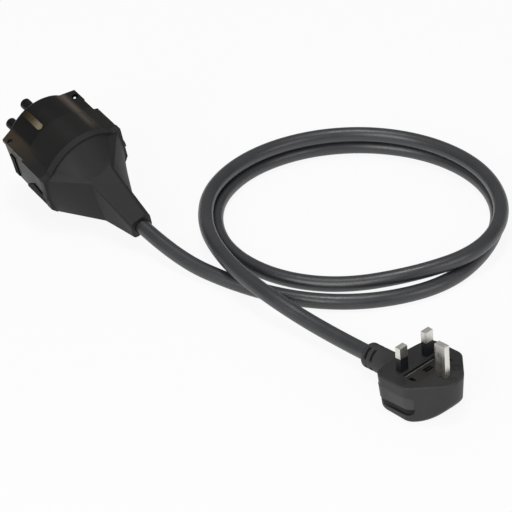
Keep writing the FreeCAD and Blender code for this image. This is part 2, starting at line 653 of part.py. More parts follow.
def build_clip(name, side):
    """A spring clip: an open ring round the cap, on a foot, with a tail to its pin or crimp."""
    centre_x = "(%d * (dim.fuse_half_long - dim.fuse_cap_long / 2))" % side
    start = centre_x + " - dim.clip_wide / 2"
    outer = "dim.fuse_radius + dim.clip_thick"
    body = rod(name, start, "dim.clip_wide", outer)
    block(body, "YZ_Plane", start,
          box_corners("dim.carrier_y - dim.clip_seat / 2", "dim.carrier_y + dim.clip_seat / 2",
                      "-" + clip_floor, "-dim.fuse_drop - dim.fuse_radius"), "dim.clip_wide", "foot")
    disc(body, "YZ_Plane", start, ("dim.carrier_y", "-dim.fuse_drop"), "dim.fuse_radius", "dim.clip_wide",
         "grip", cut=True)
    block(body, "YZ_Plane", start,
          box_corners("dim.carrier_y - 2 * dim.fuse_radius", "dim.carrier_y + 2 * dim.fuse_radius",
                      "-dim.fuse_drop + dim.clip_mouth", "0"), "dim.clip_wide", "mouth", cut=True)
    low = "-%s - dim.clip_thick" % clip_floor
    if side > 0:
        reach = box_corners("dim.carrier_y - dim.clip_seat / 2", "-dim.tail_thick / 2", low, "-" + clip_floor)
        block(body, "YZ_Plane", start, reach, "dim.clip_wide", "reach")
    else:
        reach = box_corners("dim.carrier_y - dim.clip_seat / 2", "dim.carrier_y + dim.clip_seat", low,
                            "-" + clip_floor)
        block(body, "YZ_Plane", start, reach,
              "-(%s) - dim.load_tail_x + dim.tail_wide / 2" % start, "reach")
        block(body, "XY_Plane", "-" + clip_floor,
              box_corners("-dim.load_tail_x - dim.tail_wide / 2", "-dim.load_tail_x + dim.tail_wide / 2",
                          "dim.line_tab_y - dim.tail_thick / 2", "dim.line_tab_y + dim.tail_thick / 2"),
              "dim.tail_deep - " + clip_floor, "tail", reverse=True)
    return body


def build_crimp(name, x, y):
    """A crimp barrel at the end of a tail: it lies along the plug and is open for its core."""
    start = "-(%s + dim.tail_thick / 2 + dim.crimp_long)" % y
    body = rod(name, start, "dim.crimp_long", "dim.crimp_radius", "dim.crimp_radius - dim.crimp_wall",
               "XZ_Plane", (x, "-dim.tail_deep + dim.crimp_radius"))
    return body


def rounded_path(points, share=0.45):
    """Straight runs joined by tangent arcs, each as large as the shorter of its two runs allows."""
    edges = []
    radii = []
    last = points[0]
    for before, corner, after in zip(points, points[1:], points[2:]):
        back = before - corner
        ahead = after - corner
        reach = share * min(back.Length, ahead.Length)
        back.normalize()
        ahead.normalize()
        turn = math.pi - back.getAngle(ahead)
        radius = reach / math.tan(turn / 2)
        start = corner + back * reach
        end = corner + ahead * reach
        inner = (back + ahead).normalize()
        centre = corner + inner * math.hypot(radius, reach)
        edges.append(Part.LineSegment(last, start).toShape())
        edges.append(Part.Arc(start, centre - inner * radius, end).toShape())
        radii.append(radius)
        last = end
    edges.append(Part.LineSegment(last, points[-1]).toShape())
    return Part.Wire(edges), radii


def tube_along(points, radius):
    """A round solid that follows the rounded path, and the radii of its bends."""
    wire, radii = rounded_path(points)
    direction = points[1] - points[0]
    ring = Part.Wire([Part.Circle(points[0], direction, radius).toShape()])
    solid = wire.makePipeShell([ring], True, True)
    return solid, wire.Length, radii


def strand(name, points, radius, place):
    """A core or the cord as a solid in a node of its own."""
    solid, length, radii = tube_along(points, radius)
    feature = doc.addObject("Part::Feature", name)
    feature.Label = name
    feature.Shape = solid
    feature.Placement = place
    return feature, length, radii


def plug_cores():
    """The three cores from the cord's end to their crimps, in the plug's frame."""
    start_y = val("dim.boot_end_y - dim.boot_socket_deep")
    crimp_z = val("-dim.tail_deep + dim.crimp_radius")
    level = val("-dim.boot_drop")
    ring = val("dim.core_ring")
    routes = {}
    ends = {"line": (val("-dim.load_tail_x"), val("dim.line_tab_y")),
            "neutral": (val("-dim.pin_half_pitch"), 0.0), "earth": (0.0, val("dim.earth_y"))}
    angles = {"line": 90, "neutral": 210, "earth": 330}
    for name, (x, y) in ends.items():
        begin = y + val("dim.tail_thick / 2")
        turn = math.radians(angles[name])
        side = ring * math.cos(turn)
        rise = level + ring * math.sin(turn)
        routes[name] = [Vector(x, begin, crimp_z), Vector(x, 9, crimp_z), Vector(side, 21, rise),
                        Vector(side, start_y, rise)]
    return routes


# Coupler hood

def hood_section(body, name, back, upper, lower, curves, lean="0"):
    """An eight sided section across the hood: top, corner facets and sides, then the same below."""
    sketch = new_sketch(body, "XZ_Plane", name, back, turn=Rotation(Vector(1, 0, 0), -val(lean)))
    half_top, top, out, flank = upper
    half_low, low, out_low, flank_low = lower
    draw(sketch, [(half_top, top), ("-" + half_top, top), ("-" + out, flank), ("-" + out_low, "-" + flank_low),
                  ("-" + half_low, "-" + low), (half_low, "-" + low), (out_low, "-" + flank_low),
                  (out, flank)], curves)
    return sketch


def taken_in(half, tall, out, flank, inset):
    """Half of a section, moved inwards by a wall's thickness."""
    return ("(%s - %s / 3)" % (half, inset), "(%s - %s)" % (tall, inset), "(%s - %s)" % (out, inset),
            "(%s - %s / 2)" % (flank, inset))


def hood_sections(body, inset, rear):
    """The flange, neck and mouth sections, taken inwards by the same inset."""
    first_inset = inset if rear else "(%s + dim.hollow_step)" % inset
    first = hood_section(
        body, "flange_section", "dim.flange_thick" if rear else "dim.spigot_long",
        taken_in("dim.lobe_half_wide", "dim.lobe_end_tall", "dim.hood_half_wide", "dim.hood_side_tall",
                 first_inset),
        taken_in("dim.lobe_half_wide", "dim.lobe_low_tall", "dim.hood_half_wide", "dim.hood_side_low",
                 first_inset),
        {0: "dim.lobe_radius", 4: "dim.lobe_radius", 2: "dim.hood_side_radius", 6: "dim.hood_side_radius"})
    neck = hood_section(
        body, "neck_section", "dim.neck_back",
        taken_in("(dim.neck_top_half - dim.neck_corner)", "dim.neck_top_tall", "dim.neck_top_half",
                 "(dim.neck_top_tall - dim.neck_corner)", inset),
        taken_in("(dim.neck_low_half - dim.neck_corner)", "dim.neck_low_tall", "dim.neck_low_half",
                 "(dim.neck_low_tall - dim.neck_corner)", inset), {}, "dim.neck_lean")
    if rear:
        ring = ("(dim.mouth_half - dim.mouth_corner)", "dim.mouth_half", "dim.mouth_half",
                "(dim.mouth_half - dim.mouth_corner)")
        mouth = hood_section(body, "mouth_section", "dim.mouth_back", ring, ring,
                             {side: "dim.mouth_corner" for side in (1, 3, 5, 7)})
    else:
        ring = ("(dim.core_passage - dim.neck_corner)", "dim.core_passage", "dim.core_passage",
                "(dim.core_passage - dim.neck_corner)")
        mouth = hood_section(body, "mouth_section", "dim.cavity_back", ring, ring, {})
    return [first, neck, mouth]


def loft(body, kind, sections, name):
    feature = body.newObject("PartDesign::" + kind, name)
    feature.Profile = sections[0]
    feature.Sections = sections[1:]
    feature.Ruled = True
    doc.recompute()
    return feature


def build_hood():
    """The faceted hood with its flange, hollow inside, a spigot recess in front and the cord's socket."""
    body = new_body("coupler_hood")
    disc(body, "XZ_Plane", "0", ("0", "0"), "dim.flange_low_radius", "dim.flange_thick", "round_flange")
    upper = new_sketch(body, "XZ_Plane", "upper_flange_sketch")
    draw(upper, [("dim.flange_radius", "0"), ("-dim.flange_radius", "0")], {0: "dim.flange_radius + 0.001"})
    extrude(body, upper, "dim.flange_thick", "upper_flange")
    side_foot = "-(dim.flange_low - 1.6 * dim.flange_corner)"
    block(body, "XZ_Plane", "0",
          [("-(dim.flange_half_wide - dim.flange_corner)", "-dim.flange_low"),
           ("dim.flange_half_wide - dim.flange_corner", "-dim.flange_low"), ("dim.flange_half_wide", side_foot),
           ("dim.flange_half_wide", "dim.flange_top"), ("-dim.flange_half_wide", "dim.flange_top"),
           ("-dim.flange_half_wide", side_foot)], "dim.flange_thick", "square_flange")
    loft(body, "AdditiveLoft", hood_sections(body, "0", True), "hood")
    loft(body, "SubtractiveLoft", hood_sections(body, "dim.hood_wall", False), "hollow")
    disc(body, "XZ_Plane", "0", ("0", "0"), "dim.spigot_radius + dim.spigot_gap",
         "dim.spigot_long + 0.5", "spigot_recess", cut=True)
    disc(body, "XZ_Plane", "dim.cavity_back - 1", ("0", "0"), "dim.core_passage",
         "dim.mouth_back - dim.cavity_back", "core_passage", cut=True)
    disc(body, "XZ_Plane", "dim.mouth_back - dim.mouth_socket_deep", ("0", "0"),
         "dim.cord_radius + dim.cord_gap", "dim.mouth_socket_deep + 1", "cord_socket", cut=True)
    return body


# Coupler front

def build_front_form():
    """The front housing: a stepped, bored drum with two wings, side walls and catch windows."""
    body = new_body("front_form")
    profile = new_sketch(body, "YZ_Plane", "drum_profile", "0")
    bevel = "dim.drum_chamfer"
    draw(profile, [("-dim.spigot_long", "dim.drum_bore"), ("0", "dim.drum_throat"),
                   ("dim.insert_back", "dim.drum_throat"), ("dim.insert_back", "dim.drum_bore"),
                   ("dim.drum_long", "dim.drum_bore"), ("dim.drum_long", "dim.drum_front_radius - " + bevel),
                   ("dim.drum_long - " + bevel, "dim.drum_front_radius"),
                   ("dim.drum_band", "dim.drum_front_radius"), ("dim.drum_band - " + bevel, "dim.drum_radius"),
                   ("0", "dim.drum_radius"), ("0", "dim.spigot_radius"),
                   ("-dim.spigot_long", "dim.spigot_radius")])
    turned(body, profile, "drum")
    for side, name in ((1, "right"), (-1, "left")):
        add_wing(body, side, name)
    return body


def wing_outline(side):
    """A wing seen from above, counter-clockwise for either side."""
    points = [("dim.wing_inner", "0"), ("dim.wing_root_half", "0"),
              ("dim.wing_root_half", "dim.wing_root_long"),
              ("dim.wing_waist", "dim.wing_root_long + 1.5"), ("dim.wing_waist", "dim.wing_tip_start"),
              ("dim.wing_half_wide", "dim.wing_tip_start + 1"), ("dim.wing_half_wide", "dim.wing_tip_long"),
              ("dim.wing_inner", "dim.wing_inner_long")]
    if side > 0:
        return points
    return [("-" + x, y) for x, y in reversed(points)]


def add_wing(body, side, name):
    """One wing with its hole, and the wall that hangs from its outer edge."""
    block(body, "XY_Plane", "dim.wing_top", wing_outline(side), "dim.wing_thick", name + "_wing",
          reverse=True)
    inner_face = "dim.skirt_out - dim.skirt_wall" if side > 0 else "-dim.skirt_out"
    wall = [("0", "-dim.skirt_bottom"), ("dim.skirt_toe", "-dim.skirt_bottom"),
            ("dim.skirt_long - 3", "-dim.skirt_bottom + 2"), ("dim.skirt_long", "dim.wing_top - 1"),
            ("0", "dim.wing_top - 1")]
    block(body, "YZ_Plane", inner_face, wall, "dim.skirt_wall", name + "_wall")
    window = box_corners("dim.window_start", "dim.window_start + dim.window_long",
                         "-dim.window_bottom", "dim.window_top")
    block(body, "YZ_Plane", inner_face, window, "dim.skirt_wall", name + "_window", cut=True)
    block(body, "YZ_Plane", inner_face, rear_catch_outline("0"), "dim.skirt_wall", name + "_notch", cut=True)
    disc(body, "XY_Plane", "dim.wing_top", ("%d * dim.wing_hole_x" % side, "dim.wing_hole_y"),
         "dim.wing_hole_radius", "dim.wing_thick + 0.5", name + "_hole", cut=True, reverse=True)


def rear_catch_outline(gap):
    """The rear catch seen from the side, taken inwards by a gap."""
    return [("dim.rear_catch_toe + " + gap, "-dim.skirt_bottom"),
            ("dim.rear_catch_tip - " + gap, "-dim.skirt_bottom"),
            ("dim.rear_catch_tip - " + gap, "-dim.skirt_bottom + 2 - " + gap),
            ("dim.rear_catch_peak", "-2 - " + gap), ("dim.rear_catch_toe + " + gap, "-8 - " + gap)]


def build_catch(name, side, outline):
    """A catch that fills its window and stands a little proud of the wall."""
    body = new_body(name)
    at = "dim.skirt_out - dim.skirt_wall" if side > 0 else "-dim.skirt_out - dim.catch_proud"
    block(body, "YZ_Plane", at, outline, "dim.skirt_wall + dim.catch_proud", "catch")
    return body


def front_catch_outline():
    gap = "dim.catch_gap"
    return box_corners("dim.window_start + " + gap, "dim.window_start + dim.window_long - " + gap,
                       "-dim.window_bottom + " + gap, "dim.window_top - " + gap)


def build_groove():
    """The space of the strip's groove at the top of the drum, with a rounded rear end."""
    body = new_body("strip_groove")
    half = "(dim.strip_wide / 2 + dim.groove_gap)"
    begin = "(dim.strip_start + dim.strip_wide / 2)"
    sketch = new_sketch(body, "XY_Plane", "groove", "dim.drum_front_radius - dim.groove_deep")
    beyond = "dim.drum_long + 1"
    draw(sketch, [("-" + half, begin), (half, begin), (half, beyond), ("-" + half, beyond)],
         {0: half + " + 0.001"})
    extrude(body, sketch, "3 * dim.groove_deep", "slot")
    return body


def build_strip():
    """The earth strip: a flat bar with a rounded end and a tab through the drum's wall."""
    body = new_body("earth_strip")
    half = "(dim.strip_wide / 2)"
    begin = "(dim.strip_start + dim.strip_wide / 2)"
    level = "dim.drum_front_radius - dim.groove_deep"
    sketch = new_sketch(body, "XY_Plane", "bar", level)
    draw(sketch, [("-" + half, begin), (half, begin), (half, "dim.drum_long - dim.drum_chamfer"),
                  ("-" + half, "dim.drum_long - dim.drum_chamfer")], {0: half + " + 0.001"})
    extrude(body, sketch, "dim.strip_thick", "bar_run")
    block(body, "XY_Plane", level,
          box_corners("-" + half, half, begin, begin + " + dim.strip_tab_long"), "dim.strip_tab_deep", "tab",
          reverse=True)
    return body


def post_centre(angle):
    return ("dim.post_ring * cos(%s * 1deg)" % angle, "dim.post_ring * sin(%s * 1deg)" % angle)


def build_post(name, angle):
    """A black insulating post with a rounded tip and a bore for its contact."""
    centre = post_centre(angle)
    body = rod(name, "-dim.post_tip", "dim.post_tip - dim.insert_back", "dim.post_radius", None,
               "XZ_Plane", centre)
    tip = val("dim.post_tip")
    dress(body, "Fillet", lambda e: lies_at(e, "Y", tip), "dim.post_tip_round", "tip_round")
    disc(body, "XZ_Plane", "-dim.post_tip", centre, "dim.post_bore", "dim.post_tip - dim.insert_back", "bore",
         cut=True)
    return body


def build_contact(name, angle):
    """A socket contact: a tube in its post with a solid rear end and a hollow crimp behind."""
    centre = post_centre(angle)
    long = "dim.contact_tip - dim.contact_back"
    body = rod(name, "-dim.contact_tip", long, "dim.post_bore", None, "XZ_Plane", centre)
    inner = "dim.post_bore - dim.contact_wall"
    disc(body, "XZ_Plane", "-dim.contact_tip", centre, inner, "dim.contact_tip - dim.insert_back", "mouth",
         cut=True)
    disc(body, "XZ_Plane", "-(dim.contact_back + dim.crimp_long)", centre, inner, "dim.crimp_long", "crimp",
         cut=True)
    return body


def build_insert():
    """The disc inside the drum that carries the posts."""
    start = "-(dim.insert_back + dim.insert_thick)"
    body = rod("contact_insert", start, "dim.insert_thick", "dim.drum_bore - dim.insert_gap", None,
               "XZ_Plane", ("0", "0"))
    for name, angle in (("line_hole", "dim.post_first_angle"), ("neutral_hole", "dim.post_second_angle")):
        disc(body, "XZ_Plane", start, post_centre(angle), "dim.post_radius + dim.post_gap", "dim.insert_thick",
             name, cut=True)
    return body


def coupler_cores():
    """The three cores from the coupler's crimps to the cord's end, in the coupler's frame."""
    ring = val("dim.core_ring")
    back = -val("dim.mouth_back - dim.mouth_socket_deep")
    first = val("dim.contact_back + dim.crimp_long")
    strip_turn = math.radians(val("dim.strip_angle"))
    tab = val("dim.drum_front_radius - dim.groove_deep - dim.strip_tab_deep - dim.core_radius")
    line_x, line_z = (val(text) for text in post_centre("dim.post_first_angle"))
    neutral_x, neutral_z = (val(text) for text in post_centre("dim.post_second_angle"))
    tab_end = val("dim.strip_start + dim.strip_wide / 2 + dim.strip_tab_long")
    starts = {"line": (line_x, first, line_z), "neutral": (neutral_x, first, neutral_z),
              "earth": (tab * math.cos(strip_turn), tab_end, tab * math.sin(strip_turn))}
    waists = {"line": (4, 10), "neutral": (-9, 2), "earth": (-5, 12)}
    angles = {"line": 30, "neutral": 270, "earth": 150}
    routes = {}
    for name, (x, y, z) in starts.items():
        turn = math.radians(angles[name])
        side = ring * math.cos(turn)
        rise = ring * math.sin(turn)
        routes[name] = [Vector(x, y, z), Vector(x, y - 10, z), Vector(waists[name][0], -4, waists[name][1]),
                        Vector(side, -36, rise), Vector(side, back, rise)]
    return routes


# Build the plug in its own frame

form = build_plug_form()
shell = combine("Part::Cut", "plug_shell", form, build_grip())
pins = [build_pin("line_pin", 1), build_pin("neutral_pin", -1), build_earth_pin()]
sleeves = [build_sleeve("line_sleeve", 1), build_sleeve("neutral_sleeve", -1)]
bridge_form = build_bridge_form()
well = build_well()
carrier = build_carrier()
fuse = build_fuse()
clips = [build_clip("line_clip", 1), build_clip("load_clip", -1)]
crimps = [build_crimp("neutral_crimp", "-dim.pin_half_pitch", "0"),
          build_crimp("line_crimp", "-dim.load_tail_x", "dim.line_tab_y"),
          build_crimp("earth_crimp", "0", "dim.earth_y")]
cores = [strand(name + "_core", points, val("dim.core_radius"), Placement())[0]
         for name, points in plug_cores().items()]
doc.recompute()

bridge = combine("Part::Cut", "pin_bridge", bridge_form, pins + sleeves + clips + [well] + crimps + cores)
plug_body = combine("Part::Cut", "plug_body", shell,
                    pins + sleeves + clips + [well, bridge_form] + crimps + cores)
plug_parts = pins + sleeves + clips + [carrier] + fuse + crimps + cores + [bridge, plug_body]

# Build the coupler in its own frame

hood = build_hood()
front_form = build_front_form()
catches = [build_catch(end + "_catch_" + name, side, outline)
           for side, name in ((1, "right"), (-1, "left"))
           for end, outline in (("front", front_catch_outline()), ("rear", rear_catch_outline("dim.catch_gap")))]
groove = build_groove()
strip = build_strip()
strip_place = Placement(Vector(), Rotation(Vector(0, 1, 0), 90 - val("dim.strip_angle")))
groove.Placement = strip_place
strip.Placement = strip_place
posts = [build_post("line_post", "dim.post_first_angle"), build_post("neutral_post", "dim.post_second_angle")]
contacts = [build_contact("line_contact", "dim.post_first_angle"),
            build_contact("neutral_contact", "dim.post_second_angle")]
leads = [strand(name + "_lead", points, val("dim.core_radius"), Placement())[0]
         for name, points in coupler_cores().items()]
doc.recompute()
front = combine("Part::Cut", "coupler_front", front_form, [groove, strip] + catches)
insert = build_insert()
coupler_parts = [hood, front, insert, strip] + catches + posts + contacts + leads

# Put both ends in their places and run the cord between them


def measured(parts, place):
    """The box of some parts once they are moved to a place."""
    box = FreeCAD.BoundBox()
    for part in parts:
        shape = part.Shape.copy()
        shape.Placement = place.multiply(shape.Placement)
        box.add(shape.optimalBoundingBox(False))
    return box


tilt = Rotation(Vector(1, 0, 0), -val("dim.face_tilt"))
on_back = Placement(Vector(0, 0, val("dim.face_height")), tilt)
span = measured(plug_parts, on_back)
plug_place = Placement(Vector(0, -(span.YMin + span.YMax) / 2, val("dim.face_height")), tilt)
coupler_turn = Rotation(Vector(0, 0, 1), val("dim.coupler_yaw")).multiply(
    Rotation(Vector(1, 0, 0), val("dim.coupler_pitch"))).multiply(
    Rotation(Vector(0, 1, 0), val("dim.coupler_roll")))
coupler_level = -measured([hood], Placement(Vector(), coupler_turn)).ZMin
coupler_place = Placement(Vector(val("dim.coupler_x"), val("dim.coupler_y"), coupler_level), coupler_turn)

plug_exit = plug_place.multVec(Vector(0, val("dim.boot_end_y - dim.boot_socket_deep"), -val("dim.boot_drop")))
hood_exit = coupler_place.multVec(Vector(0, -val("dim.mouth_back - dim.mouth_socket_deep"), 0))
boot_way = plug_place.Rotation.multVec(Vector(0, 1, 0))
hood_way = coupler_place.Rotation.multVec(Vector(0, -1, 0))
route = [plug_exit, plug_exit + boot_way * 43.5, Vector(-5.5, 121, 17.5), Vector(2.5, 168.5, 17.8),
         Vector(24.5, 213.5, 15.8), Vector(60.5, 246, 15.2), Vector(108, 254.5, 16.8), Vector(155.5, 240.5, 17.2),
         Vector(191, 208, 17.2), Vector(207.5, 162, 17.2), Vector(200.5, 113.5, 17.2), Vector(170, 75, 17.2),
         Vector(125, 57.5, 17.2), Vector(79.5, 72, 11.5), Vector(44, 106.5, 5.3), Vector(21.5, 148, 5.2),
         Vector(24.5, 196.5, 5.2), Vector(54.5, 237.5, 5.2), Vector(100, 255, 5.2), Vector(148, 247.5, 5.2),
         Vector(187, 219, 5.2), Vector(210, 175.5, 5.2), Vector(209, 126.5, 5.2), Vector(185.5, 84.5, 5.2),
         Vector(143, 59.5, 5.2), Vector(95.5, 56.5, 5.2), Vector(50.5, 75.5, 5.2), Vector(18, 110, 5.2),
         Vector(0.5, 156, 5.2), hood_exit + hood_way * 45, hood_exit]
cord, cord_length, cord_radii = strand("power_cord", route, val("dim.cord_radius"), Placement())
print("cord bends, radii in mm:", [round(radius) for radius in cord_radii])
section_volume = math.pi * val("dim.cord_radius") ** 2 * cord_length
print("cord length %.1f, volume ratio %.5f" % (cord_length, cord.Shape.Volume / section_volume))
for spot, place in (("plug exit", plug_exit), ("hood exit", hood_exit), ("coupler", coupler_place.Base)):
    print(spot, [round(number, 3) for number in place])

# Write every sub-part as a solid of its own

doc.recompute()
failed = [item.Name for item in doc.Objects if "Invalid" in item.State or "Error" in item.State]
if failed:
    raise RuntimeError("failed objects: " + ", ".join(failed))
os.makedirs("parts", exist_ok=True)
for group, place in ((plug_parts, plug_place), (coupler_parts, coupler_place), ([cord], Placement())):
    for part in group:
        shape = part.Shape.copy()
        if shape.isNull() or not shape.isValid():
            raise RuntimeError(part.Label + " is not a valid solid")
        shape.Placement = place.multiply(shape.Placement)
        print(part.Label, len(shape.Solids), "solid", round(shape.Volume, 1), "mm3")
        shape.exportStep("parts/" + part.Label + ".step")
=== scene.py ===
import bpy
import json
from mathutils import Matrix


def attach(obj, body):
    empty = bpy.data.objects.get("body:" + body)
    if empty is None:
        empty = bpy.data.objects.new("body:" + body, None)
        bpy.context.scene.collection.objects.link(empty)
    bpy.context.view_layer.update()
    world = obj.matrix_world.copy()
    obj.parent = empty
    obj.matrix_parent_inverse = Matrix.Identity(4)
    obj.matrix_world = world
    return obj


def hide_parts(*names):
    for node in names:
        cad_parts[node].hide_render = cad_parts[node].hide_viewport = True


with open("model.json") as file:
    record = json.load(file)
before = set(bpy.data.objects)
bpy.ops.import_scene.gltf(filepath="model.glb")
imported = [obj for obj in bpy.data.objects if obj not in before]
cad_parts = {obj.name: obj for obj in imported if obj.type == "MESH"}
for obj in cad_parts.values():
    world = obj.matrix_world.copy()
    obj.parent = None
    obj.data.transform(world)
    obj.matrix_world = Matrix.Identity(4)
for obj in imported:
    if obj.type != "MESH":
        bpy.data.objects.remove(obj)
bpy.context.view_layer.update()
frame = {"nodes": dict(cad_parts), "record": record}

import json
import math

import bmesh
import bpy
from mathutils import Matrix, Quaternion, Vector
from mathutils.geometry import delaunay_2d_cdt

# A mains lead on a pale floor. Pieces are written in millimetres in the frame of the plug or of the
# coupler, and are put in the model's frame, in metres, when they are made.

MM = 0.001
PLUG = (Matrix.Translation(Vector((0, -2.49, 25.0)) * MM)
        @ Matrix.Rotation(math.radians(-3.63), 4, "X"))
COUPLER = (Matrix.Translation(Vector((-2.2, 305.3, 31.894)) * MM)
           @ Matrix.Rotation(math.radians(-3.5), 4, "Z")
           @ Matrix.Rotation(math.radians(13.5), 4, "X")
           @ Matrix.Rotation(math.radians(-17.2), 4, "Y"))


# Camera, as the photograph looks at the lead

def add_camera():
    camera = bpy.data.objects.new("photo_camera", bpy.data.cameras.new("photo_camera"))
    bpy.context.collection.objects.link(camera)
    camera.data.sensor_width = 36.0
    camera.data.lens = 144.14
    camera.data.clip_end = 20.0
    stand = Vector((-723.7, -669.1, 753.5)) * MM
    aim = Vector((38.0, 176.9, 0.0)) * MM
    camera.location = stand
    camera.rotation_mode = "QUATERNION"
    roll = Quaternion((0, 0, 1), math.radians(-2.5))
    camera.rotation_quaternion = (aim - stand).to_track_quat("-Z", "Y") @ roll
    bpy.context.scene.camera = camera


# Materials

# Noise scales, per metre: clouds in plastic, drawn lines and dull patches in metal
CLOUD_SCALE, DRAWN_SCALE, PATCH_SCALE = 60.0, 900.0, 220.0


def principled(name, colour, roughness, metallic=0.0, specular=0.5):
    """A node material and its shader, with the constant values set on the shader's own sockets."""
    material = bpy.data.materials.new(name)
    material.use_nodes = True
    shader = material.node_tree.nodes["Principled BSDF"]
    shader.inputs["Base Color"].default_value = (*colour, 1)
    shader.inputs["Roughness"].default_value = roughness
    shader.inputs["Metallic"].default_value = metallic
    shader.inputs["Specular IOR Level"].default_value = specular
    return material, shader


def noise(tree, scale, detail=3.0, stretch=None):
    """A noise texture over the object's own coordinates, which are the model's metres."""
    nodes, links = tree.nodes, tree.links
    texture = nodes.new("ShaderNodeTexNoise")
    texture.inputs["Scale"].default_value = scale
    texture.inputs["Detail"].default_value = detail
    place = nodes.new("ShaderNodeTexCoord")
    source = place.outputs["Object"]
    if stretch is not None:
        mapping = nodes.new("ShaderNodeMapping")
        mapping.inputs["Scale"].default_value = stretch
        links.new(source, mapping.inputs["Vector"])
        source = mapping.outputs["Vector"]
    links.new(source, texture.inputs["Vector"])
    return texture.outputs["Fac"]


def spread(tree, source, low, high):
    """Map a texture's middle range to two values."""
    ramp = tree.nodes.new("ShaderNodeMapRange")
    ramp.inputs["From Min"].default_value = 0.3
    ramp.inputs["From Max"].default_value = 0.7
    ramp.inputs["To Min"].default_value = low
    ramp.inputs["To Max"].default_value = high
    tree.links.new(source, ramp.inputs["Value"])
    return ramp.outputs["Result"]


def tint(tree, source, dark, light):
    """Blend two colours by a texture."""
    ramp = tree.nodes.new("ShaderNodeValToRGB")
    ramp.color_ramp.elements[0].position = 0.32
    ramp.color_ramp.elements[0].color = (*dark, 1)
    ramp.color_ramp.elements[1].position = 0.68
    ramp.color_ramp.elements[1].color = (*light, 1)
    tree.links.new(source, ramp.inputs["Fac"])
    return ramp.outputs["Color"]


def combined(tree, operation, first, second):
    """The result of one sum between two sockets."""
    node = tree.nodes.new("ShaderNodeMath")
    node.operation = operation
    tree.links.new(first, node.inputs[0])
    tree.links.new(second, node.inputs[1])
    return node.outputs["Value"]


def finish_surface(tree, shader, gloss, relief, depth, distance, soft_edge):
    """Give a shader its gloss, its relief as bump, and edges that look rounded by soft_edge."""
    tree.links.new(gloss, shader.inputs["Roughness"])
    bump = tree.nodes.new("ShaderNodeBump")
    bump.inputs["Strength"].default_value = depth
    bump.inputs["Distance"].default_value = distance
    tree.links.new(relief, bump.inputs["Height"])
    if soft_edge:
        edge = tree.nodes.new("ShaderNodeBevel")
        edge.samples = 6
        edge.inputs["Radius"].default_value = soft_edge * MM
        tree.links.new(edge.outputs["Normal"], bump.inputs["Normal"])
    tree.links.new(bump.outputs["Normal"], shader.inputs["Normal"])


def moulded(name, colour, roughness, grain=2600.0, depth=0.12, variation=0.16, specular=0.5,
            soft_edge=0.0):
    """Moulded plastic: cloudy colour and gloss, a fine spark-eroded grain and slightly rounded edges."""
    material, shader = principled(name, colour, roughness, specular=specular)
    tree = material.node_tree
    clouds = noise(tree, CLOUD_SCALE)
    speckle = noise(tree, grain, 2.0)
    dark = [channel * (1 - variation) for channel in colour]
    light = [channel * (1 + variation) for channel in colour]
    tree.links.new(tint(tree, clouds, dark, light), shader.inputs["Base Color"])
    gloss = combined(tree, "ADD", spread(tree, clouds, roughness - 0.04, roughness + 0.04),
                     spread(tree, speckle, -0.05, 0.05))
    finish_surface(tree, shader, gloss, speckle, depth, 0.0001, soft_edge)
    return material


def metal(name, colour, roughness, brushed, depth=0.08, soft_edge=0.0):
    """Plated or bare metal: a fine drawn texture along one direction, and patches of duller gloss."""
    material, shader = principled(name, colour, roughness, metallic=1.0)
    tree = material.node_tree
    lines = noise(tree, DRAWN_SCALE, 2.0, brushed)
    clouds = noise(tree, PATCH_SCALE)
    dark = [channel * 0.9 for channel in colour]
    tree.links.new(tint(tree, clouds, dark, colour), shader.inputs["Base Color"])
    gloss = combined(tree, "ADD", spread(tree, clouds, roughness - 0.05, roughness + 0.05),
                     spread(tree, lines, -0.04, 0.06))
    finish_surface(tree, shader, gloss, lines, depth, 0.00005, soft_edge)
    return material


def add_coupler_tints(material, casts):
    """Colours, mostly painted reflections, laid in the coupler's frame. Each is a colour and ramps: axis,
    none at, full at, in mm.
    """
    tree = material.node_tree
    nodes, links = tree.nodes, tree.links
    base = nodes["Principled BSDF"].inputs["Base Color"]
    place = nodes.new("ShaderNodeTexCoord")
    mapping = nodes.new("ShaderNodeMapping")
    mapping.vector_type = "POINT"
    turn = COUPLER.inverted()
    mapping.inputs["Location"].default_value = turn.translation
    mapping.inputs["Rotation"].default_value = turn.to_euler("XYZ")
    links.new(place.outputs["Object"], mapping.inputs["Vector"])
    axes = nodes.new("ShaderNodeSeparateXYZ")
    links.new(mapping.outputs["Vector"], axes.inputs["Vector"])
    for colour, ramps in casts:
        share = None
        for axis, low, high in ramps:
            ramp = nodes.new("ShaderNodeMapRange")
            ramp.inputs["From Min"].default_value = low * MM
            ramp.inputs["From Max"].default_value = high * MM
            links.new(axes.outputs[axis], ramp.inputs["Value"])
            mask = ramp.outputs["Result"]
            share = mask if share is None else combined(tree, "MULTIPLY", share, mask)
        mix = nodes.new("ShaderNodeMix")
        mix.data_type = "RGBA"
        links.new(share, mix.inputs["Factor"])
        links.new(base.links[0].from_socket, mix.inputs["A"])
        mix.inputs["B"].default_value = (*colour, 1)
        links.new(mix.outputs["Result"], base)
    return material


# How the drawn texture of a metal is stretched: along the pins or along the lead
ALONG_PIN = (1.0, 1.0, 0.05)
ALONG_LEAD = (1.0, 0.05, 1.0)

# The coupler's front: a lighter band by the flange, a painted tan highlight on one side and a painted brown
# reflection on the other
FRONT_BAND_AND_PAINTED_REFLECTIONS = [
    ((0.0095, 0.0092, 0.0090), [("Y", 27.4, 26.6)]),
    # painted tan highlight: a painted reflection along the drum beside the right wing
    ((0.070, 0.056, 0.045), [("X", 16.5, 20.0), ("X", 25.0, 22.0), ("Z", 8.0, 12.0), ("Y", 3.0, 14.0)]),
    # painted brown reflection on the left side
    ((0.030, 0.022, 0.0135), [("X", -19.5, -22.5), ("Z", 15.5, 16.5), ("Y", 12.0, 36.0)]),
]
